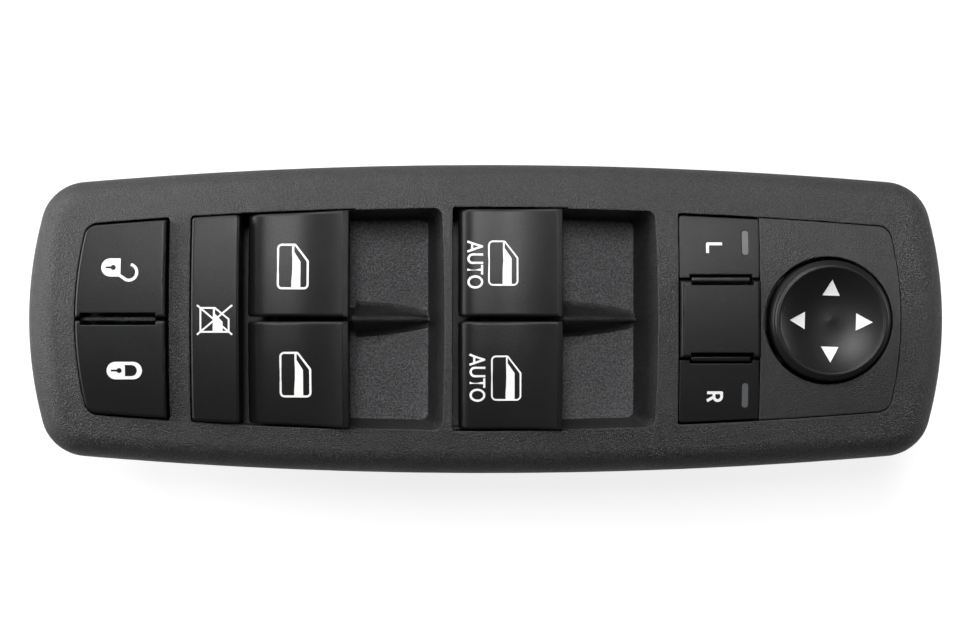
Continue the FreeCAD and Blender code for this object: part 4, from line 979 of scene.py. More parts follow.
@dataclass
class WindowMark:
    """The window sign: an outline with one slanted corner, a divider and a half-lowered pane."""

    width: float = 7.4
    length: float = 10.6
    weight: float = 0.48
    corner: float = 1.15
    slant: Point = (3.1, 4.0)
    pane: Point = (3.35, 5.45)
    pane_top: Point = (6.4, 8.7)

    def art(self) -> Artwork:
        """The sign, centred on the origin, with its pane to the right of the divider.

        Returns:
            The artwork.
        """
        w, h, edge = self.width, self.length, self.weight
        outer = rounded([(0, 0, self.corner), (w, 0, self.corner), (w, h - self.slant[1], self.corner * 0.6),
                         (w - self.slant[0], h, self.corner * 0.6), (0, h, self.corner)])
        inner_corner = self.corner - edge
        lean = edge * 0.35
        inner = rounded([(edge, edge, inner_corner), (w - edge, edge, inner_corner),
                         (w - edge, h - self.slant[1] - lean, self.corner * 0.4),
                         (w - self.slant[0] - lean, h - edge, self.corner * 0.4),
                         (edge, h - edge, inner_corner)])
        left, right = self.pane
        low_top, high_top = self.pane_top
        glass = [(left, edge / 2), (right, edge / 2), (right, low_top), (left + edge * 1.3, high_top),
                 (left + edge * 1.3, h - edge / 2), (left + edge * 0.3, h - edge / 2)]
        art = RingArt(outer, inner).art()
        art.ink.append(glass)
        return art.placed(-w / 2, -h / 2)


@dataclass
class WindowKeys:
    """A pair of window keys with their signs."""

    row: Row
    centres: dict[Hand, Point]
    mark: WindowMark
    auto_centres: dict[Hand, Point] = field(default_factory=dict)
    auto_height: float = 3.65
    auto_weight: float = 0.5

    def build(self, palette: Palette) -> None:
        """Prints the keys' signs.

        Args:
            palette: the finishes.
        """
        widths = {Letter.A: 2.85, Letter.U: 2.45, Letter.T: 2.25, Letter.O: 3.05}
        lettering = Lettering(self.auto_height, self.auto_weight, widths, 0.2)
        word = (Letter.A, Letter.U, Letter.T, Letter.O)
        for hand in Hand:
            stem = f"{self.row.value}_{hand.name.lower()}"
            art = self.mark.art().placed(*self.centres[hand])
            if self.auto_centres:
                x, y = self.auto_centres[hand]
                text = lettering.word(word).placed(-lettering.length(word) / 2, -self.auto_height / 2)
                art = art.joined(text.placed(x, y, -90))
            PrintedMark(f"{stem}_window_mark", f"{stem}_key", f"{stem}_window_key", art).build(palette)


@dataclass
class LockKeys:
    """The two lock keys with a closed and an open padlock lying on their sides."""

    unlock_at: Point = (-86.5, 11.9)
    lock_at: Point = (-83.4, -11.9)
    body: Point = (4.45, 4.2)
    pill: Point = (8.15, 4.05)
    keyhole: Triple = (0.6, 0.26, 0.2)
    closed_shackle: Triple = (0.15, 2.9, 1.3)
    hook_foot: Point = (0.3, 0.35)
    hook_bend: Point = (3.4, -2.75)
    hook_middle: Point = (4.15, -1.1)
    hook_radius: float = 1.85
    hook_turn: Point = (-115, 75)
    hook_width: float = 0.68

    def _keyhole(self, x: float, reach: float) -> list[list[Point]]:
        """A keyhole that lies on its side.

        Args:
            x: where its round part is.
            reach: how far its slot runs from there.

        Returns:
            The outlines that stay bare.
        """
        radius, wide, narrow = self.keyhole
        slot = [(x - reach, -narrow), (x, -wide), (x, wide), (x - reach, narrow)]
        return [disc((x, 0), radius, 20), slot]

    def closed(self) -> Artwork:
        """The closed padlock: a pill with a shackle's opening and a keyhole.

        Returns:
            the artwork, about the middle of the pill.
        """
        length, width = self.pill
        r = width / 2
        pill = arc((length / 2 - r, 0), r, -90, 90, 16) + arc((r - length / 2, 0), r, 90, 270, 16)
        start, end, inner = self.closed_shackle
        shackle = [(start, -inner), *arc((end - inner, 0), inner, -90, 90, 14), (start, inner)]
        return Artwork([pill], [shackle] + self._keyhole(-1.2, 1.9))

    def opened(self) -> Artwork:
        """The open padlock: its body, and the shackle swung out as a hook.

        Returns:
            the artwork, about the middle of the body.
        """
        length, width = self.body
        r = width / 2
        shape = [(length / 2, -r), (length / 2, r), *arc((r - length / 2, 0), r, 90, 270, 16)]
        art = Artwork([shape], self._keyhole(0.55, 1.75))
        back, up = self.hook_foot
        hook = [(length / 2 - back, -r + up), self.hook_bend]
        hook += arc(self.hook_middle, self.hook_radius, *self.hook_turn, 16)
        return art.stroke(hook, self.hook_width)

    def build(self, palette: Palette) -> None:
        """Prints both signs.

        Args:
            palette: the finishes.
        """
        signs = (("unlock", self.opened(), self.unlock_at), ("lock", self.closed(), self.lock_at))
        for key, art, place in signs:
            PrintedMark(f"{key}_mark", f"{key}_key", f"{key}_rocker", art.placed(*place)).build(palette)


@dataclass
class LockoutKey:
    """The window lockout key with its crossed-out window."""

    centre: Point = (-62.45, -0.2)
    width: float = 6.9
    height: float = 5.9
    weight: float = 0.4
    corner: float = 0.45
    slant: Point = (3.3, 2.7)
    pane: Point = (3.0, 5.3)
    pane_top: Point = (2.5, 4.4)
    reach: Point = (4.05, 3.4)
    ink_spacing: float = 0.7

    def art(self) -> Artwork:
        """The window sign on its side, crossed out corner to corner.

        Returns:
            The artwork.
        """
        art = WindowMark(self.width, self.height, self.weight, self.corner, self.slant, self.pane,
                         self.pane_top).art()
        rx, ry = self.reach
        art.stroke([(-rx, -ry), (rx, ry)], self.weight)
        art.stroke([(-rx, ry), (rx, -ry)], self.weight)
        return art.placed(*self.centre)

    def build(self, palette: Palette) -> None:
        """Prints the sign.

        Args:
            palette: the finishes.
        """
        mark = PrintedMark("lockout_mark", "lockout_key", "lockout_button", self.art(),
                           spacing=self.ink_spacing)
        mark.build(palette)


@dataclass
class MirrorControls:
    """The letters on the mirror selector keys and the arrows on the knob."""

    letters_at: dict[Hand, Point]
    letter_height: float = 3.7
    letter_weight: float = 0.66
    knob_centre: Point = (79.4, -0.5)
    arrow_reach: Point = (5.9, 9.5)
    arrow_half: float = 2.0
    arrow_turn: float = -1.6

    def _letters(self, palette: Palette) -> None:
        """Prints L and R, turned to read from the driver's seat.

        Args:
            palette: the finishes.
        """
        lettering = Lettering(self.letter_height, self.letter_weight, {Letter.L: 2.45, Letter.R: 2.55}, 0.0)
        for hand, letter in ((Hand.LEFT, Letter.L), (Hand.RIGHT, Letter.R)):
            stem = f"{hand.name.lower()}_mirror"
            word = lettering.word((letter,)).placed(-lettering.widths[letter] / 2, -self.letter_height / 2)
            art = word.placed(*self.letters_at[hand], -90)
            PrintedMark(f"{stem}_letter", f"{stem}_key", f"{stem}_button", art).build(palette)

    def _arrows(self, palette: Palette) -> None:
        """Prints the four arrows on the knob.

        Args:
            palette: the finishes.
        """
        near, far = self.arrow_reach
        arrow = [(near, -self.arrow_half), (far, 0.0), (near, self.arrow_half)]
        art = Artwork()
        for quarter in range(4):
            art = art.joined(Artwork([arrow]).placed(0, 0, 90 * quarter + self.arrow_turn))
        PrintedMark("knob_arrows", "mirror_knob", "knob", art.placed(*self.knob_centre)).build(palette)

    def build(self, palette: Palette) -> None:
        """Prints the mirror keys' letters and the knob's arrows.

        Args:
            palette: the finishes.
        """
        self._letters(palette)
        self._arrows(palette)


class NodeRecipe:
    """A Geometry Nodes tree under construction, which ends as one plain mesh."""

    KINDS = ((bpy.types.Object, "NodeSocketObject"), (bpy.types.Material, "NodeSocketMaterial"),
             (Vector, "NodeSocketVector"), (int, "NodeSocketInt"), (float, "NodeSocketFloat"))

    def __init__(self, name: str, values: dict[str, object]) -> None:
        """Starts a tree with one named input for each value.

        Args:
            name: the tree's name.
            values: what the inputs are set to, by name.
        """
        self.values = values
        self.tree = bpy.data.node_groups.new(name, "GeometryNodeTree")
        ends = self.tree.interface
        ends.new_socket("Geometry", in_out="INPUT", socket_type="NodeSocketGeometry")
        ends.new_socket("Geometry", in_out="OUTPUT", socket_type="NodeSocketGeometry")
        self.identifiers: dict[str, str] = {}
        for label, value in values.items():
            kind = next(socket for made_of, socket in self.KINDS if isinstance(value, made_of))
            self.identifiers[label] = ends.new_socket(label, in_out="INPUT", socket_type=kind).identifier
        self.shader = ShaderTree(self.tree)
        self.inputs = self.shader.node("NodeGroupInput").outputs

    def node(self, kind: str, inputs: dict[str | int, object] | None = None, **settings: object) -> Node:
        """Adds one node, as ShaderTree.node does."""
        return self.shader.node(kind, inputs, **settings)

    def mesh(self, name: str, shape: Socket, base: bpy.types.Mesh | None = None) -> bpy.types.Mesh:
        """Closes the tree, runs it once and keeps its result.

        Args:
            name: the mesh's name.
            shape: the geometry that the tree has made.
            base: the mesh that goes into the tree, if any.

        Returns:
            A plain mesh with its finish.
        """
        real = self.node("GeometryNodeRealizeInstances", {"Geometry": shape})
        dressed = self.node("GeometryNodeSetMaterial", {"Geometry": real.outputs[0],
                                                        "Material": self.inputs["Finish"]})
        sink = self.node("NodeGroupOutput")
        self.tree.links.new(dressed.outputs[0], sink.inputs[0])
        carrier = bpy.data.objects.new(f"{name}_carrier", base or bpy.data.meshes.new(f"{name}_seed"))
        bpy.context.scene.collection.objects.link(carrier)
        modifier = carrier.modifiers.new(name, "NODES")
        modifier.node_group = self.tree
        for label, value in self.values.items():
            modifier[self.identifiers[label]] = list(value) if isinstance(value, Vector) else value
        bpy.context.view_layer.update()
        ready = carrier.evaluated_get(bpy.context.evaluated_depsgraph_get())
        mesh = bpy.data.meshes.new_from_object(ready)
        mesh.name = name
        bpy.data.objects.remove(carrier)
        return mesh


@dataclass(frozen=True)
class CoilSpring:
    """A compression spring of round wire, its end turns drawn together. Sizes are in millimetres."""

    radius: float
    wire: float
    turns: float
    low: float
    high: float
    at: Point
    end_close: float = 0.6
    steps: int = 20
    sides: int = 10

    def mesh(self, name: str, material: bpy.types.Material) -> bpy.types.Mesh:
        """Winds the spring.

        Args:
            name: the mesh's name.
            material: its finish.

        Returns:
            The mesh.
        """
        half = self.wire / 2
        rise = self.high - self.low - self.wire
        recipe = NodeRecipe("wound_wire", {
            "Coil radius": (self.radius - half) * MM, "Wire radius": half * MM, "Turns": self.turns,
            "Height": rise * MM, "Closing": self.end_close,
            "Place": Vector((self.at[0], self.at[1], self.low + half)) * MM, "Finish": material})
        given = recipe.inputs
        spiral = recipe.node("GeometryNodeCurveSpiral", {
            "Resolution": self.steps, "Rotations": given["Turns"], "Start Radius": given["Coil radius"],
            "End Radius": given["Coil radius"], "Height": given["Height"]})
        share = recipe.node("GeometryNodeSplineParameter").outputs["Factor"]
        eased = recipe.node("ShaderNodeMapRange", {"Value": share},
                            interpolation_type="SMOOTHSTEP").outputs[0]
        drawn = recipe.shader.math("MULTIPLY", recipe.shader.math("SUBTRACT", eased, share), given["Closing"])
        lift = recipe.shader.math("MULTIPLY", drawn, given["Height"])
        moved = recipe.node("GeometryNodeSetPosition", {
            "Geometry": spiral.outputs[0],
            "Offset": recipe.node("ShaderNodeCombineXYZ", {"Z": lift}).outputs[0]})
        ring = recipe.node("GeometryNodeCurvePrimitiveCircle", {"Resolution": self.sides,
                                                                "Radius": given["Wire radius"]})
        wire = recipe.node("GeometryNodeCurveToMesh", {"Curve": moved.outputs[0],
                                                       "Profile Curve": ring.outputs[0], "Fill Caps": True})
        placed = recipe.node("GeometryNodeTransform", {"Geometry": wire.outputs[0],
                                                       "Translation": given["Place"]})
        smooth = recipe.node("GeometryNodeSetShadeSmooth", {"Geometry": placed.outputs[0]})
        return recipe.mesh(name, smooth.outputs[0])


@dataclass(frozen=True)
class Copies:
    """One small part set at many places, each turned a little differently about its upright axis."""

    places: tuple[Triple, ...]
    turn: float = 0.0
    seed: int = 7

    def mesh(self, name: str, part: bpy.types.Mesh, material: bpy.types.Material) -> bpy.types.Mesh:
        """Sets the copies out.

        Args:
            name: the mesh's name.
            part: the part, standing at the origin.
            material: its finish.

        Returns:
            The mesh of all the copies.
        """
        source = bpy.data.objects.new(f"{name}_part", part)
        bpy.context.scene.collection.objects.link(source)
        points = bpy.data.meshes.new(f"{name}_places")
        points.from_pydata([[c * MM for c in place] for place in self.places], [], [])
        recipe = NodeRecipe("copies_at_places", {"Part": source, "Turn": math.radians(self.turn),
                                                 "Seed": self.seed, "Finish": material})
        given = recipe.inputs
        piece = recipe.node("GeometryNodeObjectInfo", {"Object": given["Part"]})
        spread = recipe.node("FunctionNodeRandomValue", {"Seed": given["Seed"]}, data_type="FLOAT")
        angle = recipe.shader.math("MULTIPLY", spread.outputs[1], given["Turn"])
        rotation = recipe.node("ShaderNodeCombineXYZ", {"Z": angle}).outputs[0]
        set_out = recipe.node("GeometryNodeInstanceOnPoints", {
            "Points": given["Geometry"], "Instance": piece.outputs["Geometry"], "Rotation": rotation})
        mesh = recipe.mesh(name, set_out.outputs[0], points)
        bpy.data.objects.remove(source)
        return mesh


@dataclass
class CaseScrews:
    """The pan head screws that hold both cases to the bezel, with their cross recesses."""

    rows: tuple[Point, ...] = ((-100.5, 12.0), (-71.0, 29.4), (-8.6, 30.3), (30.0, 30.3), (57.0, 29.5),
                               (90.0, 27.5))
    seat: float = 26.6
    head: Point = (2.8, 1.8)
    head_steps: int = 8
    head_fullness: float = 0.6
    head_dome: float = 0.75
    rim: float = 0.12
    shank: float = 1.25
    root: float = 0.95
    neck: float = 1.2
    pitch: float = 0.9
    thread: Point = (0.3, 0.65)
    point: Point = (0.3, 1.4)
    tip: float = 8.9
    segments: int = 32
    recess: Triple = (1.55, 0.34, 1.05)
    recess_taper: float = 0.62
    overshoot: float = 0.5

    def _blank(self) -> bpy.types.Object:
        """The screw before its recess is struck: a domed head under a threaded shank.

        Returns:
            the blank, its seat at the origin.
        """
        radius, height = self.head
        profile = [(0.0, -height)]
        for step in range(1, self.head_steps + 1):
            turn = math.radians(90 * step / self.head_steps)
            rise = self.head_dome * height * (1 - math.cos(turn))
            profile.append((radius * math.sin(turn) ** self.head_fullness, -height + rise))
        profile += [(radius, -self.rim), (radius - self.rim, 0.0), (self.shank, 0.0)]
        valley, crest = (share * self.pitch for share in self.thread)
        blunt, point = self.point
        z = self.neck
        while z < self.tip - point:
            profile += [(self.root, z), (self.root, z + valley), (self.shank, z + crest)]
            z += self.pitch
        profile += [(self.root, z), (blunt, self.tip), (0.0, self.tip)]
        work = MeshMaker.turned([(r * MM, h * MM) for r, h in profile], self.segments)
        screw = bpy.data.objects.new("screw_blank", MeshMaker.mesh_from(work, "screw_blank"))
        bpy.context.scene.collection.objects.link(screw)
        return screw

    def _punch(self) -> bpy.types.Object:
        """The tapered cross that strikes the recess.

        Returns:
            the punch, standing where the recess goes.
        """
        work = bmesh.new()
        reach, half, depth = self.recess
        low, high = -self.head[1] - self.overshoot, -self.head[1] + depth
        for turned in (False, True):
            rings = []
            for z, grow in ((low, 1.0), (high, self.recess_taper)):
                far = reach * grow
                corners = [(far, half), (-far, half), (-far, -half), (far, -half)]
                ring = []
                for x, y in corners:
                    place = (-y, x, z) if turned else (x, y, z)
                    ring.append(work.verts.new(Vector(place) * MM))
                rings.append(ring)
            work.faces.new(rings[0][::-1])
            work.faces.new(rings[1])
            for step in range(4):
                after = (step + 1) % 4
                work.faces.new([rings[0][step], rings[0][after], rings[1][after], rings[1][step]])
        punch = bpy.data.objects.new("screw_punch", MeshMaker.mesh_from(work, "screw_punch"))
        bpy.context.scene.collection.objects.link(punch)
        return punch

    def _part(self) -> bpy.types.Mesh:
        """One finished screw, its seat at the origin.

        Returns:
            The mesh.
        """
        screw, punch = self._blank(), self._punch()
        strike = screw.modifiers.new("recess", "BOOLEAN")
        strike.operation = "DIFFERENCE"
        strike.solver = "EXACT"
        strike.use_self = True
        strike.object = punch
        bpy.context.view_layer.update()
        ready = screw.evaluated_get(bpy.context.evaluated_depsgraph_get())
        part = bpy.data.meshes.new_from_object(ready)
        bpy.data.objects.remove(screw)
        bpy.data.objects.remove(punch)
        return part

    def build(self, palette: Palette) -> None:
        """Sets the screws under the flanges.

        Args:
            palette: the finishes.
        """
        places = tuple((x, side * y, self.seat) for x, y in self.rows for side in (1, -1))
        mesh = Copies(places, turn=90.0).mesh("pan_head_screws", self._part(), palette.materials["steel"])
        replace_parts(MeshMaker.piece("pan_head_screws", mesh, "housing", "steel"), "case_screws")


@dataclass
class ConnectorPins:
    """The square pins of both sockets, with their chamfered tips."""

    side: float = 0.64
    length: float = 3.5
    chamfer: Point = (0.18, 0.5)
    pitch: float = 2.54
    main: tuple[float, float, int] = (-68.89, 9.0, 8)
    mirror: tuple[float, float, int] = (65.92, 31.0, 5)

    def _part(self) -> bpy.types.Mesh:
        """One pin, hanging from the origin with its tip down.

        Returns:
            The mesh.
        """
        work = bmesh.new()
        half = self.side / 2
        inset, rise = self.chamfer
        rings = []
        for z, reach in ((0.0, half), (rise - self.length, half), (-self.length, half - inset)):
            corners = ((1, 1), (-1, 1), (-1, -1), (1, -1))
            rings.append([work.verts.new(Vector((i * reach, j * reach, z)) * MM) for i, j in corners])
        for high, low in zip(rings, rings[1:]):
            for step in range(4):
                after = (step + 1) % 4
                work.faces.new([high[step], high[after], low[after], low[step]])
        work.faces.new(rings[0])
        work.faces.new(rings[-1])
        return MeshMaker.mesh_from(work, "pin")

    def build(self, palette: Palette) -> None:
        """Sets out the pins of both sockets.

        Args:
            palette: the finishes.
        """
        for node, (first, roof, columns) in (("main", self.main), ("mirror", self.mirror)):
            places = []
            for column in range(columns):
                for row in (-0.5, 0.5):
                    places.append((first + column * self.pitch, row * self.pitch, roof))
            name = f"{node}_socket_pins"
            mesh = Copies(tuple(places)).mesh(name, self._part(), palette.materials["contact_brass"])
            piece = MeshMaker.piece(name, mesh, "housing", "contact_brass")
            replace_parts(piece, f"{node}_connector_pins")


@dataclass
class Springs:
    """The lockout key's return spring, and the short springs over the four detent plungers."""

    lockout: CoilSpring = CoilSpring(radius=3.4, wire=0.8, turns=6.5, low=28.6, high=42.5, at=(-62.5, 0.0))
    lockout_keep: float = 0.85
    detent: CoilSpring = CoilSpring(radius=1.2, wire=0.32, turns=4.0, low=32.7, high=34.7, at=(0.0, 15.2))
    detent_rows: dict[Row, float] = field(default_factory=lambda: {Row.REAR: -50.2, Row.FRONT: -0.7})

    def build(self, palette: Palette) -> None:
        """Winds the springs.

        Args:
            palette: the finishes.
        """
        steel = palette.materials["steel"]
        spring = MeshMaker.piece("lockout_coil", self.lockout.mesh("lockout_coil", steel), "housing", "steel")
        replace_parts(spring, "lockout_spring")
        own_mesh(spring)
        for row, x in self.detent_rows.items():
            for hand in Hand:
                stem = f"{row.value}_{hand.name.lower()}"
                coil = replace(self.detent, at=(x, hand.value * self.detent.at[1]))
                name = f"{stem}_detent_coil"
                piece = MeshMaker.piece(name, coil.mesh(name, steel), f"{stem}_window_key", "steel")
                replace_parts(piece, f"{stem}_plunger_spring")


@dataclass
class RubberDomes:
    """The rubber domes under the lock keys and mirror keys, and the knob's mat with its four."""

    base: float = 3.2
    height: float = 1.8
    web: float = 0.35
    lock_at: Triple = (-84.4, 17.0, 30.2)
    mirror_at: Triple = (54.2, 19.5, 37.5)
    lock_keep: float = 0.56
    mirror_keep: float = 0.78
    knob_at: Triple = (79.4, -0.35, 37.5)
    mat_radii: Point = (7.3, 12.74)
    mat_height: float = 0.5
    foot_radius: float = 10.5
    knob_dome: Point = (3.0, 1.15)
    knob_keep: float = 0.43

    def _profile(self, base: float, height: float) -> list[Point]:
        """The half section of a dome: a flange, a thin coned web and a dished button.

        Args:
            base: its radius on the board.
            height: its height.

        Returns:
            Radius and height of each ring, in metres.
        """
        button = 0.62 * base
        shape = [(0.0, 0.0), (base, 0.0), (base, 0.6 * self.web), (base - 0.15, self.web),
                 (base - 0.4, self.web + 0.04), (button + 0.25, 0.62 * height),
                 (button + 0.05, 0.74 * height), (button, 0.94 * height), (button - 0.12, height),
                 (0.6 * button, height), (0.5 * button, 0.93 * height), (0.0, 0.92 * height)]
        return [(r * MM, z * MM) for r, z in shape]

    def _dome(self, name: str, at: Sequence[float], joint: str, keep: float, node: str,
              palette: Palette) -> None:
        """One dome under a key.

        Args:
            name: the piece's name.
            at: the middle of its foot, in millimetres.
            joint: the joint that presses it; not used.
            keep: the share of its height that stays; not used.
            node: the CAD node that it stands for.
            palette: the finishes.
        """
        foot = Vector(at) * MM
        work = MeshMaker.turned(self._profile(self.base, self.height), 40, foot)
        piece = MeshMaker.piece(name, MeshMaker.mesh_from(work, name), "housing", "silicone")
        palette.dress(piece, "silicone")
        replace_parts(piece, node)
        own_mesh(piece)

    def _mat(self, palette: Palette) -> None:
        """The knob's ring-shaped mat with its four domes.

        Args:
            palette: the finishes.
        """
        foot = Vector(self.knob_at) * MM
        inner, outer = self.mat_radii
        top = self.mat_height
        ring = [(inner, 0.0), (outer, 0.0), (outer, top - 0.15), (outer - 0.15, top), (inner + 0.15, top),
                (inner, top - 0.15), (inner, 0.0)]
        work = MeshMaker.turned([(r * MM, z * MM) for r, z in ring], 64, foot)
        reach = self.foot_radius * math.sqrt(0.5) * MM
        for i, j in ((1, 1), (-1, 1), (-1, -1), (1, -1)):
            middle = foot + Vector((i * reach, j * reach, 0))
            dome = MeshMaker.turned(self._profile(*self.knob_dome), 40, middle)
            part = bpy.data.meshes.new("knob_mat_dome")
            dome.to_mesh(part)
            dome.free()
            work.from_mesh(part)
        piece = MeshMaker.piece("knob_mat", MeshMaker.mesh_from(work, "knob_mat"), "housing", "silicone")
        palette.dress(piece, "silicone")
        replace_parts(piece, "knob_dome_mat")
        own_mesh(piece)

    def build(self, palette: Palette) -> None:
        """Makes every dome.

        Args:
            palette: the finishes.
        """
        keys = ((Hand.LEFT, "unlock"), (Hand.RIGHT, "lock"))
        for hand, key in keys:
            x, y, z = self.lock_at
            self._dome(f"{key}_rubber_dome", (x, hand.value * y, z), f"{key}_tilt", self.lock_keep,
                       f"{key}_dome", palette)
        for hand in Hand:
            x, y, z = self.mirror_at
            stem = f"{hand.name.lower()}_mirror"
            self._dome(f"{stem}_rubber_dome", (x, hand.value * y, z), f"{stem}_tilt", self.mirror_keep,
                       f"{stem}_dome", palette)
        self._mat(palette)


@dataclass
class WellFins:
    """The fins that split the finger wells: round ridges that narrow to blunt tips, with a soft foot."""

    backs: Point = (-33.7, 15.8)
    starts: Point = (-31.3, 18.2)
    tips: Point = (-13.8, 35.7)
    past_tip: float = 1.0
    floor: float = 31.0
    top: float = 43.12
    base: float = 7.0
    tip_base: float = 2.4
    ridge: float = 0.9
    tip_rise: float = 0.18
    fall: float = 0.9
    flare: Point = (0.9, 1.2)
    stations: int = 18
    arc_steps: int = 8

    def _section(self, share: float) -> list[Point]:
        """The outline of the fin across its length.

        Args:
            share: how far along the fin it is, from 0 to 1.

        Returns:
            Points from one foot over the ridge to the other.
        """
        low = self.floor - 1.0
        rise = self.tip_rise + (1 - self.tip_rise) * (1 - share) ** self.fall
        top = low + (self.top - low) * rise
        radius = self.ridge * (1 - share / 4)
        foot = (self.tip_base + (self.base - self.tip_base) * (1 - share ** 2)) / 2
        out, up = self.flare
        up = min(up, 0.5 * (top - self.floor))
        shoulder = top - radius
        lean = (foot - radius) / (shoulder - low)
        over = radius + lean * (shoulder - self.floor - up)
        half = [(foot + out, low), (foot + out, self.floor), (foot + 0.3 * out, self.floor + 0.32 * up),
                (over, self.floor + up)]
        ridge = []
        for step in range(self.arc_steps + 1):
            turn = math.pi * step / self.arc_steps
            ridge.append((radius * math.cos(turn), shoulder + radius * math.sin(turn)))
        return half + ridge + [(-y, z) for y, z in reversed(half)]

    def build(self, palette: Palette) -> None:
        """Lofts both fins.

        Args:
            palette: the finishes.
        """
        for row, back, start, tip in zip(Row, self.backs, self.starts, self.tips):
            work = bmesh.new()
            rings = []
            for step in range(self.stations + 2):
                x = start + (tip - start) * min(step / self.stations, 1.0)
                share = (x - back) / (tip - back)
                if step > self.stations:
                    x += self.past_tip
                rings.append([work.verts.new(Vector((x, y, z)) * MM) for y, z in self._section(share)])
            for near, far in zip(rings, rings[1:]):
                for i in range(len(near)):
                    j = (i + 1) % len(near)
                    work.faces.new([near[i], near[j], far[j], far[i]])
            work.faces.new(rings[0])
            work.faces.new(rings[-1])
            name = f"{row.value}_well_fin"
            piece = MeshMaker.piece(name, MeshMaker.mesh_from(work, name), "housing", "grained_black")
            palette.dress(piece, "grained_black")


@dataclass
class GapShadeStrips:
    """The foam strips on the mirror case's rim that close the gaps round the two mirror keys: partly a seal,
    and partly dark pieces put there as painted shade so that the gaps read dark.
    """

    ends: Point = (44.9, 64.0)
    across: Point = (23.7, 26.0)
    seam_ends: Point = (43.9, 45.9)
    seam_across: Point = (-25.0, 25.0)
    heights: Point = (35.95, 37.3)
    rounding: float = 0.35

    def _strip(self, name: str, spans: tuple[Point, Point, Point], palette: Palette) -> None:
        """Makes one strip with rounded edges.

        Args:
            name: the piece's name.
            spans: its lower and upper end along each axis, in millimetres.
            palette: the finishes.
        """
        work = bmesh.new()
        bmesh.ops.create_cube(work, size=1.0)
        for v in work.verts:
            v.co = Vector([(sum(span) / 2 + (span[1] - span[0]) * c) * MM for span, c in zip(spans, v.co)])
        bmesh.ops.bevel(work, geom=work.edges[:], offset=self.rounding * MM, segments=3, affect="EDGES")
        piece = MeshMaker.piece(name, MeshMaker.mesh_from(work, name), "housing")
        palette.dress(piece, "foam")

    def build(self, palette: Palette) -> None:
        """Makes the strips outside the two keys and the one under the panel's rear seam.

        Args:
            palette: the finishes.
        """
        # Painted shade: the dark strips sit under the gaps so that the gaps read dark.
        for hand in Hand:
            across = tuple(sorted(hand.value * y for y in self.across))
            self._strip(f"{hand.name.lower()}_dust_strip", (self.ends, across, self.heights), palette)
        self._strip("rear_dust_strip", (self.seam_ends, self.seam_across, self.heights), palette)


@dataclass
class CaseSkirt:
    """The thin wall on the main case's rim that closes the space up to the bezel's underside."""

    ends: Point = (-96.7, 40.7)
    half_width: float = 26.45
    wall: float = 0.7
    heights: Point = (28.6, 40.0)
    corner: float = 0.6

    def build(self, palette: Palette) -> None:
        """Makes the wall as one closed ring with rounded corners.

        Args:
            palette: the finishes.
        """
        name = "case_skirt"
        work = bmesh.new()
        rings = []
        for inset in (0.0, self.wall):
            x0, x1 = self.ends[0] + inset, self.ends[1] - inset
            y = self.half_width - inset
            for z in self.heights:
                corners = ((x0, -y), (x1, -y), (x1, y), (x0, y))
                rings.append([work.verts.new(Vector((a, b, z)) * MM) for a, b in corners])
        outer_low, outer_high, inner_low, inner_high = rings
        for low, high in ((outer_low, outer_high), (inner_high, inner_low), (outer_high, inner_high),
                          (inner_low, outer_low)):
            for i in range(4):
                j = (i + 1) % 4
                work.faces.new((low[i], low[j], high[j], high[i]))
        upright = [e for e in work.edges if abs(e.verts[0].co.z - e.verts[1].co.z) > self.wall * MM]
        bmesh.ops.bevel(work, geom=upright, offset=self.corner * MM, segments=4, affect="EDGES")
        piece = MeshMaker.piece(name, MeshMaker.mesh_from(work, name), "housing")
        palette.dress(piece, "case_plastic")


class CadFinishes:
    """Gives every CAD node its finish."""

    # The key shafts take the near-black steel as painted shade in the gap between the keys.
    OWN: dict[str, str] = {"mirror_panel": "panel_black", "mirror_knob": "knob_black",
                           "rear_key_shaft": "blackened_steel", "front_key_shaft": "blackened_steel",
                           "mirror_circuit_board": "dark_board"}

    def build(self, palette: Palette) -> None:
        """Dresses the nodes by their material slots.

        Args:
            palette: the finishes.
        """
        for part in frame["record"]["subparts"]:
            node = part["node"]
            palette.dress(frame["nodes"][node], self.OWN.get(node, part["material_slot"]))


@dataclass(frozen=True)
class Lamp:
    """A soft rectangular lamp."""

    name: str
    place: Triple
    size: Point
    power: float

    def build(self, aim: Triple) -> None:
        """Hangs the lamp.

        Args:
            aim: the point that it faces.
        """
        light = bpy.data.lights.new(self.name, "AREA")
        light.shape = "RECTANGLE"
        light.size, light.size_y = self.size
        light.energy = self.power
        lamp = bpy.data.objects.new(self.name, light)
        lamp.location = self.place
        lamp.rotation_mode = "QUATERNION"
        lamp.rotation_quaternion = (Vector(aim) - Vector(self.place)).to_track_quat("-Z", "Y")
        bpy.context.scene.collection.objects.link(lamp)


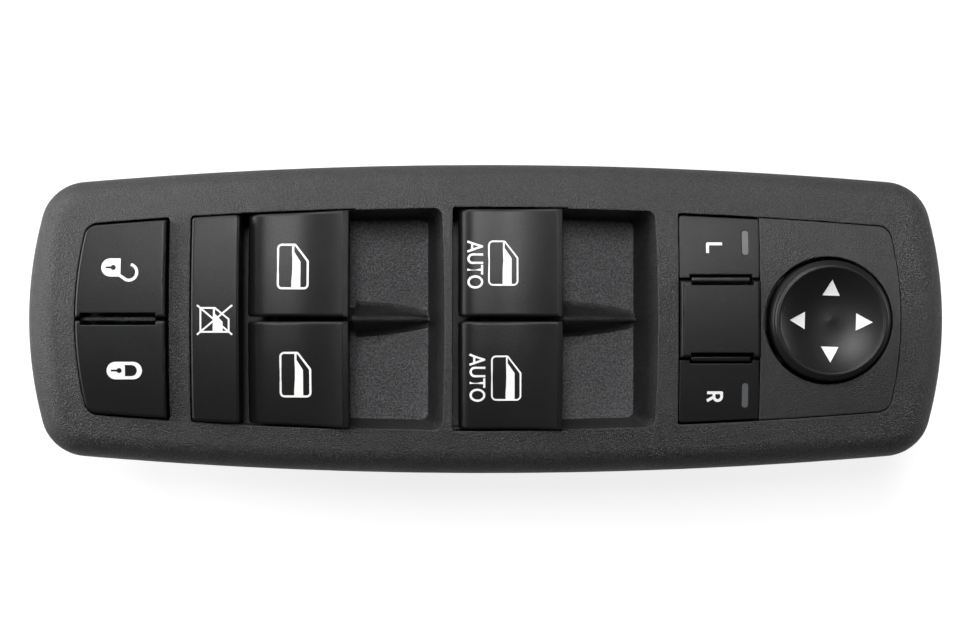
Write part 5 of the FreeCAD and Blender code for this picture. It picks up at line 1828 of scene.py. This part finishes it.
@dataclass
class Studio:
    """The pale floor, the soft lamps and the camera straight above the panel."""

    floor_half: float = 3.0
    floor_drop: float = 0.0002
    floor_grey: float = 0.30
    floor_glow: float = 0.80
    floor_in_gloss: float = 0.15
    surround: float = 0.05
    aim: Triple = (0.0, 0.0, 0.04)
    lamps: tuple[Lamp, ...] = (
        Lamp("top_lamp", (-0.04, 0.36, 0.94), (0.28, 0.44), 8.6),
        Lamp("upper_lamp", (-0.35, 0.80, 0.34), (0.60, 0.34), 6.0),
        Lamp("rear_lamp", (-0.75, 0.16, 0.20), (0.60, 0.36), 8.0),
        Lamp("front_lamp", (0.80, 0.14, 0.15), (0.30, 0.22), 2.0),
        Lamp("under_lamp", (0.10, -0.25, -0.80), (0.60, 0.60), 9.0),
    )
    camera_height: float = 0.396
    camera_x: float = -0.00131
    sensor: float = 36.0
    lens: float = 56.7

    def _floor(self) -> None:
        """A wide pale floor under the panel, white to the camera and open when seen from below."""
        mesh = bpy.data.meshes.new("studio_floor")
        r = self.floor_half
        z = -self.floor_drop
        mesh.from_pydata([(-r, -r, z), (r, -r, z), (r, r, z), (-r, r, z)], [], [(0, 1, 2, 3)])
        floor = bpy.data.objects.new("studio_floor", mesh)
        bpy.context.scene.collection.objects.link(floor)
        material = bpy.data.materials.new("studio_floor")
        material.use_nodes = True
        material.node_tree.nodes.clear()
        s = ShaderTree(material.node_tree)
        matt = s.node("ShaderNodeBsdfDiffuse", {"Color": rgba((1.0, 1.0, 1.0), self.floor_grey)})
        glow = s.node("ShaderNodeEmission", {"Color": (1, 1, 1, 1), "Strength": self.floor_glow})
        path = s.node("ShaderNodeLightPath")
        mirrored = s.math("MULTIPLY", path.outputs["Is Glossy Ray"], self.floor_in_gloss)
        seen = s.math("MAXIMUM", path.outputs["Is Camera Ray"], mirrored)
        seen = s.math("MAXIMUM", seen, path.outputs["Is Transmission Ray"])
        none = s.node("ShaderNodeEmission", {"Color": (0, 0, 0, 1), "Strength": 0.0})
        lit = s.node("ShaderNodeMixShader", {0: seen, 1: none.outputs[0], 2: glow.outputs[0]})
        both = s.node("ShaderNodeAddShader", {0: matt.outputs[0], 1: lit.outputs[0]})
        under = s.node("ShaderNodeNewGeometry").outputs["Backfacing"]
        clear = s.node("ShaderNodeBsdfTransparent")
        floor_shader = s.node("ShaderNodeMixShader", {0: under, 1: both.outputs[0], 2: clear.outputs[0]})
        output = s.node("ShaderNodeOutputMaterial")
        s.tree.links.new(floor_shader.outputs[0], output.inputs["Surface"])
        mesh.materials.append(material)

    def _world(self) -> None:
        """An even pale surround."""
        world = bpy.data.worlds.new("studio_world")
        world.use_nodes = True
        world.node_tree.nodes.clear()
        s = ShaderTree(world.node_tree)
        soft = s.node("ShaderNodeBackground", {"Color": (1, 1, 1, 1), "Strength": self.surround})
        white = s.node("ShaderNodeBackground", {"Color": (1, 1, 1, 1), "Strength": 1.0})
        path = s.node("ShaderNodeLightPath")
        mix = s.node("ShaderNodeMixShader", {0: path.outputs["Is Camera Ray"], 1: soft.outputs[0],
                                             2: white.outputs[0]})
        output = s.node("ShaderNodeOutputWorld")
        s.tree.links.new(mix.outputs[0], output.inputs["Surface"])
        bpy.context.scene.world = world

    def _camera(self) -> None:
        """The camera straight above, with the photograph's framing."""
        data = bpy.data.cameras.new("panel_camera")
        data.sensor_width = self.sensor
        data.lens = self.lens
        data.clip_start = 0.01
        camera = bpy.data.objects.new("panel_camera", data)
        camera.location = (self.camera_x, 0.0, self.camera_height)
        bpy.context.scene.collection.objects.link(camera)
        bpy.context.scene.camera = camera

    def build(self) -> None:
        """Sets up everything round the panel."""
        self._floor()
        self._world()
        for lamp in self.lamps:
            lamp.build(self.aim)
        self._camera()
        bpy.context.scene.view_settings.view_transform = "Standard"


def main() -> None:
    """Builds the panel's looks in order."""
    logging.basicConfig(level=logging.INFO)
    palette = Palette()
    rear_keys = WindowKeys(Row.REAR, {Hand.LEFT: (-44.65, 12.17), Hand.RIGHT: (-44.06, -12.89)}, WindowMark())
    front_keys = WindowKeys(Row.FRONT, {Hand.LEFT: (4.07, 12.96), Hand.RIGHT: (4.76, -13.7)},
                            WindowMark(width=7.0, length=10.5, weight=0.38),
                            {Hand.LEFT: (-2.4, 12.65), Hand.RIGHT: (-1.9, -13.6)})
    mirror_controls = MirrorControls({Hand.LEFT: (53.0, 16.55), Hand.RIGHT: (53.25, -18.05)})
    assemblies = (CadFinishes(), LockKeys(), LockoutKey(), rear_keys, front_keys, mirror_controls, WellFins(),
                  GapShadeStrips(), CaseSkirt(), RubberDomes(), Springs(), ConnectorPins(), CaseScrews())
    for assembly in assemblies:
        LOG.info("building %s", type(assembly).__name__)
        assembly.build(palette)
    Studio().build()
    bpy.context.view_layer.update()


if __name__ == "__main__":
    main()
